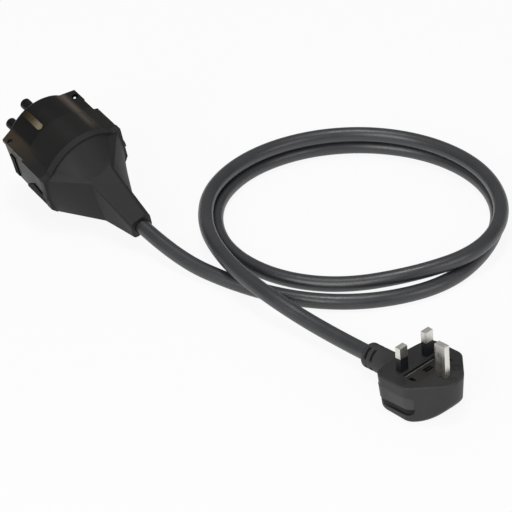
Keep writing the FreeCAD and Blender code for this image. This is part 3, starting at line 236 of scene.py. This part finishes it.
# Its strip: a painted reflection, dark at the front end and with a painted highlight at the rear
STRIP_PAINTED_REFLECTION = [
    ((0.040, 0.030, 0.015), [("Y", 40.0, 50.0)]),
    # painted highlight at the strip's rear end
    ((0.36, 0.31, 0.21), [("Y", 40.0, 32.0)]),
]

looks = {
    "plug_black": moulded("plug_plastic", (0.024, 0.024, 0.0247), 0.55, specular=0.42, soft_edge=0.3),
    # face plastic: its own coarser grain, and darker than the walls as painted shade
    "face_black": moulded("plug_face_painted_shade", (0.0195, 0.0192, 0.0190), 0.6, grain=1700.0, depth=0.3,
                          variation=0.25, specular=0.33),
    # slot plastic darker than the walls: painted shade in the grip's slot
    "grip_black": moulded("grip_slot_painted_shade", (0.0105, 0.0105, 0.0135), 0.6, specular=0.2),
    # panel plastic paler than the walls: painted light on the grip's panel
    "panel_black": moulded("grip_panel_painted_light", (0.034, 0.034, 0.0355), 0.5, specular=0.5),
    "hood_black": moulded("hood_plastic", (0.0125, 0.0125, 0.0138), 0.6, specular=0.3, soft_edge=0.7),
    "front_black": add_coupler_tints(
        moulded("front_plastic", (0.0055, 0.0052, 0.005), 0.42, depth=0.08, specular=0.2, soft_edge=0.3),
        FRONT_BAND_AND_PAINTED_REFLECTIONS),
    "insert_black": moulded("insert_plastic", (0.008, 0.008, 0.008), 0.5),
    "post_black": moulded("post_plastic", (0.0035, 0.0035, 0.0035), 0.4, specular=0.2),
    # catches: black latch parts, made near black with almost no gloss as painted shade
    "catch_black": moulded("catch_painted_shade", (0.0015, 0.0015, 0.0015), 0.6, specular=0.06),
    "sleeve_black": moulded("sleeve_plastic", (0.006, 0.0065, 0.009), 0.42),
    "carrier_black": moulded("carrier_plastic", (0.0115, 0.0101, 0.0090), 0.5, specular=0.4, soft_edge=0.3),
    # pale carrier edge: a painted highlight along the carrier's edge
    "carrier_edge_highlight": moulded("carrier_edge_painted_highlight", (0.15, 0.142, 0.125), 0.4, variation=0.35),
    "bridge_grey": moulded("bridge_plastic", (0.18, 0.18, 0.18), 0.5),
    "cord_black": moulded("cord_jacket", (0.0185, 0.0193, 0.0222), 0.4, grain=1500.0,
                          depth=0.05, specular=0.8),
    "fuse_ceramic": moulded("fuse_tube_ceramic", (0.72, 0.70, 0.64), 0.35),
    "core_brown": moulded("core_jacket_brown", (0.13, 0.05, 0.02), 0.45),
    "core_blue": moulded("core_jacket_blue", (0.02, 0.07, 0.32), 0.45),
    "core_green_yellow": moulded("core_jacket_green", (0.28, 0.42, 0.03), 0.45),
    "pin_nickel": metal("pin_plating", (0.79, 0.77, 0.72), 0.3, ALONG_PIN, depth=0.008, soft_edge=0.25),
    "strip_brass": add_coupler_tints(metal("strip_plating", (0.125, 0.1, 0.056), 0.4, ALONG_LEAD), STRIP_PAINTED_REFLECTION),
    "contact_brass": metal("contact_metal", (0.62, 0.48, 0.26), 0.3, ALONG_LEAD),
    "fuse_metal": metal("fuse_cap_metal", (0.72, 0.72, 0.70), 0.25, ALONG_LEAD),
    "fuse_wire_metal": metal("fuse_wire_metal", (0.6, 0.58, 0.55), 0.3, ALONG_LEAD),
    "clip_copper": metal("clip_metal", (0.70, 0.38, 0.22), 0.3, ALONG_LEAD),
    "crimp_tin": metal("crimp_metal", (0.66, 0.66, 0.66), 0.35, ALONG_LEAD),
}

for row in frame["record"]["subparts"]:
    node = frame["nodes"][row["node"]]
    node.data.materials.clear()
    node.data.materials.append(looks[row["material_slot"]])


# Cord: the route of the solid, as the control points of one smooth line. On the near side the points
# are moved, by up to 5.5 mm, to where the photograph shows the two strands.

CORD_RADIUS = 5.15
PLUG_EXIT = Vector((0.0, 27.919, 11.548))
BOOT_WAY = Vector((0.0, 0.997994, -0.063313))
HOOD_EXIT = Vector((-5.554, 250.464, 18.704))
HOOD_WAY = Vector((-0.059362, -0.970556, -0.233445))
CORD_ROUTE = [
    PLUG_EXIT, PLUG_EXIT + BOOT_WAY * 43.5, (-5.5, 121, 17.5), (2.5, 168.5, 17.8), (24.5, 213.5, 15.8),
    (60.5, 246, 15.2), (108, 254.5, 16.8), (155.5, 240.5, 17.2), (191, 208, 17.2), (207.5, 162, 17.2),
    (200.5, 113.5, 17.2), (170, 73, 16.2), (124.2, 56.2, 16.4), (79.5, 72, 13.6), (44, 106.5, 5.3),
    (21.5, 148, 5.2), (24.5, 196.5, 5.2), (54.5, 237.5, 5.2), (100, 255, 5.2), (148, 247.5, 5.2),
    (187, 219, 5.2), (209.5, 175.5, 5.2), (208, 127.5, 5.2), (184, 88.5, 5.2), (143, 65, 5.2),
    (95.5, 57, 5.2), (50.5, 75.5, 5.2), (18, 110, 5.2), (0.5, 156, 5.2), HOOD_EXIT + HOOD_WAY * 45,
    HOOD_EXIT,
]


def add_cord():
    curve = bpy.data.curves.new("mains_cord", "CURVE")
    curve.dimensions = "3D"
    line = curve.splines.new("NURBS")
    line.points.add(len(CORD_ROUTE) - 1)
    for point, place in zip(line.points, CORD_ROUTE):
        point.co = (*(Vector(place) * MM), 1)
    line.order_u = 3
    line.use_endpoint_u = True
    curve.resolution_u = 14
    curve.bevel_depth = CORD_RADIUS * MM
    curve.bevel_resolution = 10
    curve.use_fill_caps = True
    cord = bpy.data.objects.new("mains_cord", curve)
    bpy.context.collection.objects.link(cord)
    curve.materials.append(looks["cord_black"])
    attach(cord, "root")
    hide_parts("power_cord")
    return cord


add_camera()
cord = add_cord()


# Mesh helpers. Corners are in millimetres, and edges above the crease angle stay sharp.

CREASE = math.radians(35.0)


def fan_arc(centre, radius, first, last, count):
    """Points along an arc, both ends included, angles in degrees."""
    steps = [math.radians(first + (last - first) * step / count) for step in range(count + 1)]
    return [(centre[0] + radius * math.cos(turn), centre[1] + radius * math.sin(turn))
            for turn in steps]


def run(first, last, count):
    """Points along a straight run, without its ends."""
    return [(first[0] + (last[0] - first[0]) * step / count,
             first[1] + (last[1] - first[1]) * step / count) for step in range(1, count)]


def bridge(faces, ring, below):
    """Quads between two closed rings with as many corners."""
    count = len(ring)
    for step in range(count):
        after = (step + 1) % count
        faces.append((ring[step], ring[after], below[after], below[step]))


def add_piece(name, corners, faces, node, materials, kinds=None):
    """A piece in the plug's frame that stands for a node. Kinds maps a face to another of its materials."""
    kinds = kinds or {}
    mesh = bpy.data.meshes.new(name)
    work = bmesh.new()
    made = [work.verts.new(PLUG @ (Vector(corner) * MM)) for corner in corners]
    for number, face in enumerate(faces):
        if len(set(face)) == len(face):
            work.faces.new([made[corner] for corner in face]).material_index = kinds.get(number, 0)
    bmesh.ops.remove_doubles(work, verts=work.verts, dist=1e-6)
    bmesh.ops.dissolve_degenerate(work, edges=work.edges, dist=1e-6)
    bmesh.ops.recalc_face_normals(work, faces=work.faces)
    for face in work.faces:
        face.smooth = True
    for edge in work.edges:
        edge.smooth = len(edge.link_faces) == 2 and edge.calc_face_angle(0.0) < CREASE
    work.to_mesh(mesh)
    work.free()
    for material in materials:
        mesh.materials.append(material)
    piece = bpy.data.objects.new(name, mesh)
    bpy.context.collection.objects.link(piece)
    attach(piece, "root")
    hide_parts(node)
    return piece


# Plug moulding, in the plug's frame: the face at z = 0 with its outline, drafted walls and the back

HALF_WIDE, SHOULDER_Y, NOSE_Y = 25.0, -15.2, -40.0
CABLE_ARC_Y, CABLE_ARC = -106.967, 120.0
CORNER_ROUND, SHOULDER_ROUND, NOSE_ROUND = 7.5, 8.0, 15.0
DRAFT = math.tan(math.radians(3.8))
FACE_ROUND, BACK_ROUND, CONIC_WEIGHT = 0.9, 2.6, 0.72
BACK_LEVEL, BACK_SLOPE = -25.05, 0.0634
BEND_Y, NOSE_SLOPE, BEND_HALF = -21.8, 0.92, 5.5


def plug_outline(inset):
    """The moulding's outline moved inwards: the same number of points for any inset, mirrored in x."""
    side = HALF_WIDE - inset
    reach = CABLE_ARC - inset
    corner_x = side - CORNER_ROUND
    corner_y = CABLE_ARC_Y + math.sqrt((reach - CORNER_ROUND) ** 2 - corner_x ** 2)
    lean = math.degrees(math.atan2(corner_y - CABLE_ARC_Y, corner_x))
    slant = Vector((SHOULDER_Y - NOSE_Y, -HALF_WIDE)).normalized()
    level = slant.x * HALF_WIDE + slant.y * SHOULDER_Y - inset
    slant_turn = math.degrees(math.atan2(slant.y, slant.x))
    shoulder_x = side - SHOULDER_ROUND
    shoulder_y = (level - SHOULDER_ROUND - slant.x * shoulder_x) / slant.y
    nose_y = (level - NOSE_ROUND) / slant.y
    half = fan_arc((0, CABLE_ARC_Y), reach, 90.0, lean, 40)
    half += fan_arc((corner_x, corner_y), CORNER_ROUND, lean, 0.0, 24)[1:]
    half += run((side, corner_y), (side, shoulder_y), 44)
    shoulder = fan_arc((shoulder_x, shoulder_y), SHOULDER_ROUND, 0.0, slant_turn, 24)
    nose = fan_arc((0.0, nose_y), NOSE_ROUND, slant_turn, -90.0, 34)
    half += shoulder + run(shoulder[-1], nose[0], 44) + nose
    return half + [(-x, y) for x, y in reversed(half[1:-1])]


def back_height(y):
    """The back's surface: almost level, then turning up towards the nose in a soft bend."""
    flat = BACK_LEVEL + BACK_SLOPE * y
    past = BEND_Y - y
    rise = BACK_SLOPE + NOSE_SLOPE
    if past <= -BEND_HALF:
        return flat
    if past >= BEND_HALF:
        return flat + rise * past
    return flat + rise * (past + BEND_HALF) ** 2 / (4 * BEND_HALF)


# Finger grips on the two sides: a panel under a lip, paler than the wall as painted light, and a slot below
# it, dark as painted shade
GRIP_TOP, GRIP_SLOT, GRIP_FOOT = -7.3, -16.1, -20.4
GRIP_START_X, GRIP_STOP_Y = 17.0, -18.9
GRIP_END_ROUND = 4.5
# Rows of the walls, from the top: from, to, spacing
WALL_TOP = -FACE_ROUND - 0.4
WALL_ROWS = [(WALL_TOP, -7.0, 0.8), (-7.0, -8.2, 0.12), (-8.2, -15.8, 0.5), (-15.8, -16.7, 0.1),
             (-16.7, -19.8, 0.45), (-19.8, -20.8, 0.12), (-20.8, -23.4, 0.5)]
# Materials of plug_moulding, after its own plastic
SLOT_KIND, FACE_KIND, PANEL_KIND = 1, 2, 3


def soft_step(value, low, high):
    """From 0 at low to 1 at high, level at both ends."""
    share = min(max((value - low) / (high - low), 0.0), 1.0)
    return share * share * (3 - 2 * share)


def inside_grip(along, height, first, last):
    """Distance from the grip's edge, positive inside, in its rounded outline along the wall."""
    out = abs(along - (first + last) / 2) - (last - first) / 2 + GRIP_END_ROUND
    up = abs(height - (GRIP_TOP + GRIP_FOOT) / 2) - (GRIP_TOP - GRIP_FOOT) / 2 + GRIP_END_ROUND
    return GRIP_END_ROUND - math.hypot(max(out, 0), max(up, 0)) - min(max(out, up), 0)


def grip_depth(along, height, first, last, y):
    """Proud of the wall at the cable end, under a lip further on, and deeper again in the slot."""
    edge = inside_grip(along, height, first, last)
    if edge <= 0:
        return 0.0
    lean = 0.5 - 0.9 * soft_step(y, 0.0, 8.0)
    lip = 0.35 * soft_step(height - GRIP_TOP, -1.1, 0.0) * soft_step(y, 3.0, -2.0)
    slot = 0.4 * soft_step(GRIP_SLOT - height, 0.0, 0.25)
    return (lean + lip + slot) * soft_step(edge, 0.0, 0.35)


def conic(start, middle, end, share):
    """A point on a rounded corner from start to end that pulls towards the middle."""
    first, second, third = (1 - share) ** 2, 2 * share * (1 - share) * CONIC_WEIGHT, share ** 2
    return tuple((first * a + second * b + third * c) / (first + second + third)
                 for a, b, c in zip(start, middle, end))


def build_moulding():
    """The moulding without its face: rings from the rim down to the back, and each face's material."""
    near, far = plug_outline(0.0), plug_outline(2.0)
    count = len(near)
    drift = [((b[0] - a[0]) / 2, (b[1] - a[1]) / 2) for a, b in zip(near, far)]
    normals = [Vector((-dx, -dy)).normalized() for dx, dy in drift]
    travel = [0.0]
    for before, after in zip(near, near[1:]):
        travel.append(travel[-1] + math.dist(before, after))
    total = travel[-1] + math.dist(near[-1], near[0])
    start = min(travel[i] for i in range(count) if near[i][0] >= GRIP_START_X)
    stop = max(travel[i] for i in range(count) if near[i][0] > 0 and near[i][1] >= GRIP_STOP_Y)
    grips = [(start, stop), (total - stop, total - start)]

    def at(column, height, extra=0.0):
        move = extra - height * DRAFT
        (x, y), (dx, dy) = near[column], drift[column]
        return x + move * dx, y + move * dy, height

    def foot_height(column):
        height = BACK_LEVEL
        for _ in range(6):
            height = back_height(at(column, height)[1])
        return height

    heights = [WALL_TOP]
    for high, low, step in WALL_ROWS:
        parts = max(1, round((high - low) / step))
        heights += [high + (low - high) * part / parts for part in range(1, parts + 1)]
    corners, faces, kinds = [], [], {}

    def add_ring(points):
        first = len(corners)
        corners.extend(points)
        return list(range(first, first + count))

    rings = []
    for part in range(7):
        share = part / 6
        rings.append(add_ring([conic(at(i, 0.0, FACE_ROUND), at(i, 0.0), at(i, -FACE_ROUND), share)
                               for i in range(count)]))
    feet = [foot_height(i) + BACK_ROUND for i in range(count)]
    for height in heights:
        ring = []
        for i in range(count):
            level = max(height, feet[i])
            depth = sum(grip_depth(travel[i], level, first, last, near[i][1]) for first, last in grips)
            depth *= soft_step(level - feet[i], 0.0, 0.6)
            x, y, z = at(i, level)
            ring.append((x - depth * normals[i].x, y - depth * normals[i].y, z))
        rings.append(add_ring(ring))
    for part in range(9):
        ring = []
        for i in range(count):
            corner = at(i, feet[i] - BACK_ROUND)
            inner = at(i, feet[i] - BACK_ROUND, BACK_ROUND)
            inner = (inner[0], inner[1], back_height(inner[1]))
            ring.append(conic(at(i, feet[i]), corner, inner, part / 8))
        rings.append(add_ring(ring))
    for above, below in zip(rings, rings[1:]):
        for i in range(count):
            after = (i + 1) % count
            face = (above[i], above[after], below[after], below[i])
            height = sum(corners[corner][2] for corner in face) / 4
            for first, last in grips:
                if inside_grip(travel[i], height, first, last) > 0.1:
                    # panel faces take the painted light, slot faces the painted shade
                    kinds[len(faces)] = PANEL_KIND if height > GRIP_SLOT else SLOT_KIND
            faces.append(face)
    last = rings[-1]
    for i in range(count // 2):
        mirrored, after = (count - i) % count, count - i - 1
        faces.append((last[i], last[i + 1], last[after], last[mirrored]))
    return corners, faces, kinds, rings[0]


def rounded_box(x0, x1, y0, y1, radius, steps=5):
    """The outline of a box with rounded corners, counter-clockwise."""
    points = []
    for x, y, turn in ((x1 - radius, y1 - radius, 0), (x0 + radius, y1 - radius, 90),
                       (x0 + radius, y0 + radius, 180), (x1 - radius, y0 + radius, 270)):
        points += fan_arc((x, y), radius, turn, turn + 90, steps)
    return points


def circle(x, y, radius, count=28):
    return fan_arc((x, y), radius, 0, 360 * (count - 1) / count, count - 1)


def pin_hole(x0, x1, y0, y1):
    return rounded_box(x0 - PIN_GAP, x1 + PIN_GAP, y0 - PIN_GAP, y1 + PIN_GAP, 0.3), 1.5, None


def ring_mark(x, y, radius):
    return circle(x, y, radius), 0.3, circle(x, y, radius - 0.4)


PIN_GAP = 0.1
# The fuse carrier's well, with a pry notch at each end
WELL = [(15.45, -16.4), (15.45, -13.1), (16.1, -13.1), (16.1, -9.0), (15.45, -9.0), (15.45, -4.5),
        (-15.45, -4.5), (-15.45, -9.0), (-16.1, -9.0), (-16.1, -13.1), (-15.45, -13.1), (-15.45, -16.4)]
# Openings in the face: outline, depth, and the outline of an island left standing in it
OPENINGS = [
    pin_hole(7.925, 14.275, -1.985, 1.985),
    pin_hole(-14.275, -7.925, -1.985, 1.985),
    pin_hole(-1.985, 1.985, -26.19, -18.27),
    ring_mark(10.8, -23.1, 2.5),
    ring_mark(0.8, -30.4, 1.9),
    (WELL, 2.4, None),
]


def close_face(corners, faces, rim, openings, level=0.0):
    """Fill the face between its rim and the openings, then sink each opening to its floor."""
    rim_points = [Vector(corners[i][:2]) for i in rim]
    points, loops = list(rim_points), [list(range(len(rim_points)))]
    for outline, _, island in openings:
        for loop in (outline, island):
            if loop:
                first = len(points)
                points += [Vector(point) for point in loop]
                loops.append(list(range(first, first + len(loop))))
    edges = [(loop[i], loop[(i + 1) % len(loop)]) for loop in loops for i in range(len(loop))]
    flat, _, cells, origin, _, _ = delaunay_2d_cdt(points, edges, [], 1, 1e-5)
    start = len(corners)
    corners.extend((point.x, point.y, level) for point in flat)
    for cell in cells:
        middle = sum((flat[corner] for corner in cell), Vector((0, 0))) / len(cell)
        hole = any(within(middle, outline) and not (island and within(middle, island))
                   for outline, _, island in openings)
        if not hole:
            faces.append(tuple(start + corner for corner in cell))
    for outline, depth, island in openings:
        floors = []
        for loop in (outline, island):
            if not loop:
                continue
            top, floor = len(corners), len(corners) + len(loop)
            corners.extend((x, y, level) for x, y in loop)
            corners.extend((x, y, level - depth) for x, y in loop)
            bridge(faces, list(range(top, top + len(loop))), list(range(floor, floor + len(loop))))
            floors.append(list(range(floor, floor + len(loop))))
        if island:
            bridge(faces, floors[0], floors[1])
        else:
            faces.append(tuple(floors[0]))


def within(point, outline):
    """Whether a point lies inside an outline."""
    inside = False
    for (x0, y0), (x1, y1) in zip(outline, outline[1:] + outline[:1]):
        if (y0 > point.y) != (y1 > point.y) and point.x < (x1 - x0) * (point.y - y0) / (y1 - y0) + x0:
            inside = not inside
    return inside


def add_moulding():
    corners, faces, kinds, rim = build_moulding()
    walls = len(faces)
    close_face(corners, faces, rim, OPENINGS)
    kinds.update((face, FACE_KIND) for face in range(walls, len(faces)))
    add_piece("plug_moulding", corners, faces, "plug_body",
              [looks["plug_black"], looks["grip_black"], looks["face_black"], looks["panel_black"]],
              kinds)


# Fuse carrier: a plate with two lever slots, a lower strip along its cable side and a pale edge between, a
# painted highlight

CARRIER_HALF, CARRIER_FLOOR = 15.05, -2.2
LEVER_SLOTS = [(rounded_box(-3.6, 3.2, -10.5, -8.95, 0.3), 1.5, None),
               (rounded_box(-3.6, 3.2, -12.4, -10.85, 0.3), 1.5, None)]
PRY_NOTCH = (1.9, -13.1, -9.0)
HIGHLIGHT_EDGE_KIND = 1


def notched(outline, depth, low, high):
    """A box's outline with a notch cut into both of its ends, between two heights."""
    wide = max(x for x, _ in outline)
    result = []
    for point, after in zip(outline, outline[1:] + outline[:1]):
        result.append(point)
        if abs(point[0] - after[0]) < 1e-6 and abs(abs(point[0]) - wide) < 1e-6:
            side = 1 if point[0] > 0 else -1
            ends = (low, high) if after[1] > point[1] else (high, low)
            result += [(point[0], ends[0]), (side * (wide - depth), ends[0]),
                       (side * (wide - depth), ends[1]), (point[0], ends[1])]
    return result


def add_slab(corners, faces, box, top, rounding, openings=(), notch=None):
    """A flat plate down to the carrier's floor, with a rounded top edge."""
    rim = None
    for part in range(5):
        turn = math.radians(90 * part / 4)
        inset = rounding * (1 - math.sin(turn))
        height = top - rounding * (1 - math.cos(turn))
        outline = rounded_box(box[0] + inset, box[1] - inset, box[2] + inset, box[3] - inset, 0.15)
        if notch:
            outline = notched(outline, notch[0], notch[1] - inset, notch[2] + inset)
        ring = list(range(len(corners), len(corners) + len(outline)))
        corners.extend((x, y, height) for x, y in outline)
        if rim is None:
            close_face(corners, faces, ring, openings, top)
        else:
            bridge(faces, rim, ring)
        rim = ring
    floor = list(range(len(corners), len(corners) + len(rim)))
    corners.extend((corners[corner][0], corners[corner][1], CARRIER_FLOOR) for corner in rim)
    bridge(faces, rim, floor)
    faces.append(tuple(floor))


def add_carrier():
    corners, faces = [], []
    half = CARRIER_HALF
    add_slab(corners, faces, (-half, half, -16.05, -6.95), -0.3, 0.25, LEVER_SLOTS, PRY_NOTCH)
    add_slab(corners, faces, (-half, half, -6.25, -5.45), -0.45, 0.15)
    # the third slab is the pale edge, a painted highlight
    plain = len(faces)
    add_slab(corners, faces, (-half, 9.5, -6.55, -6.2), -0.2, 0.1)
    add_piece("carrier_plate", corners, faces, "fuse_carrier",
              [looks["carrier_black"], looks["carrier_edge_highlight"]],
              {face: HIGHLIGHT_EDGE_KIND for face in range(plain, len(faces))})


# Boot, round the cord's axis: its profile from the foot to the cord's mouth, as y and radius

BOOT_AXIS = -11.5
BOOT_PROFILE = [(6.0, 9.6), (11.0, 9.6), (11.2, 11.49), (11.9, 11.49), (12.35, 11.2), (12.9, 10.75),
                (13.4, 10.3), (14.1, 9.85), (15.2, 9.4), (17.0, 9.0), (22.0, 8.15), (37.0, 8.15),
                (37.9, 7.98), (38.6, 7.5), (39.05, 6.75), (39.2, 5.95), (39.2, 5.3), (38.9, 5.2), (36.0, 5.2)]
BOOT_AROUND, BOOT_STEP, BOOT_FINE_STEP, BOOT_INNER = 180, 1.0, 0.12, 3
BOOT_SLOTS = (34.7, 30.2)
SLOT_WIDE, SLOT_DEEP, SLOT_ARC = 1.9, 2.1, 60.0


def add_boot():
    """The flexing boot: a turned form whose slots are sunk into it where the rings are closest."""
    stations = []
    for (y0, r0), (y1, r1) in zip(BOOT_PROFILE, BOOT_PROFILE[1:]):
        slotted = any(y0 < centre < y1 for centre in BOOT_SLOTS)
        parts = max(1, round(math.hypot(y1 - y0, r1 - r0) / (BOOT_FINE_STEP if slotted else BOOT_STEP)))
        stations += [(y0 + (y1 - y0) * part / parts, r0 + (r1 - r0) * part / parts)
                     for part in range(parts)]
    stations.append(BOOT_PROFILE[-1])
    corners, faces, rings = [], [], []
    for number, (y, radius) in enumerate(stations):
        outside = number < len(stations) - BOOT_INNER
        ring = []
        for step in range(BOOT_AROUND):
            turn = 360 * step / BOOT_AROUND
            side = soft_step(SLOT_ARC / 2 - abs(turn % 90 - 45), 0.0, 1.6)
            sink = max(soft_step(SLOT_WIDE / 2 - abs(y - centre), -0.12, 0.12) for centre in BOOT_SLOTS)
            reach = radius - SLOT_DEEP * side * sink * outside
            ring.append(len(corners))
            corners.append((reach * math.sin(math.radians(turn)), y,
                            BOOT_AXIS + reach * math.cos(math.radians(turn))))
        rings.append(ring)
    for before, after in zip(rings, rings[1:]):
        bridge(faces, before, after)
    faces.append(tuple(rings[0]))
    add_piece("plug_boot", corners, faces, "plug_body", [looks["plug_black"]])


add_moulding()
add_carrier()
add_boot()


# Floor, lamps and world

FLOOR_HALF, FLOOR_GLOW = 6.0, 0.9
LAMP_AIM = (0.05, 0.15, 0.0)
WORLD_LIGHT = 0.36


def seen_by(tree, *kinds):
    """One for rays of these kinds, which should find a white background."""
    ray = tree.nodes.new("ShaderNodeLightPath")
    seen = ray.outputs[kinds[0]]
    for kind in kinds[1:]:
        seen = combined(tree, "MAXIMUM", seen, ray.outputs[kind])
    return seen


def add_floor():
    mesh = bpy.data.meshes.new("floor")
    mesh.from_pydata([(x * FLOOR_HALF, y * FLOOR_HALF, 0) for x, y in ((-1, -1), (1, -1), (1, 1), (-1, 1))],
                     [], [(0, 1, 2, 3)])
    floor = bpy.data.objects.new("floor", mesh)
    bpy.context.collection.objects.link(floor)
    material, shader = principled("floor_paint", (0.8, 0.8, 0.8), 0.9)
    tree = material.node_tree
    nodes, links = tree.nodes, tree.links
    glow = nodes.new("ShaderNodeEmission")
    blend = nodes.new("ShaderNodeMixShader")
    share = nodes.new("ShaderNodeMapRange")
    share.inputs["To Max"].default_value = FLOOR_GLOW
    links.new(seen_by(tree, "Is Camera Ray", "Is Glossy Ray", "Is Transmission Ray"),
              share.inputs["Value"])
    links.new(share.outputs["Result"], blend.inputs["Fac"])
    links.new(shader.outputs["BSDF"], blend.inputs[1])
    links.new(glow.outputs["Emission"], blend.inputs[2])
    links.new(blend.outputs["Shader"], nodes["Material Output"].inputs["Surface"])
    mesh.materials.append(material)


def add_lamp(name, place, size, power):
    data = bpy.data.lights.new(name, "AREA")
    data.size = size
    data.energy = power
    lamp = bpy.data.objects.new(name, data)
    bpy.context.collection.objects.link(lamp)
    lamp.location = place
    lamp.rotation_mode = "QUATERNION"
    lamp.rotation_quaternion = (Vector(LAMP_AIM) - Vector(place)).to_track_quat("-Z", "Y")


def add_world():
    world = bpy.data.worlds.new("studio")
    bpy.context.scene.world = world
    world.use_nodes = True
    tree = world.node_tree
    background = tree.nodes["Background"]
    background.inputs["Color"].default_value = (1, 1, 1, 1)
    strength = tree.nodes.new("ShaderNodeMapRange")
    strength.inputs["To Min"].default_value = WORLD_LIGHT
    strength.inputs["To Max"].default_value = 1.0
    tree.links.new(seen_by(tree, "Is Camera Ray", "Is Transmission Ray"), strength.inputs["Value"])
    tree.links.new(strength.outputs["Result"], background.inputs["Strength"])


add_floor()
add_lamp("key", (-1.6, -0.35, 0.95), 1.1, 20.0)
add_lamp("fill", (0.3, -1.5, 0.85), 0.9, 6.0)
add_lamp("top", (0.05, 0.2, 1.9), 0.45, 11.0)
add_world()
bpy.context.scene.view_settings.view_transform = "Standard"
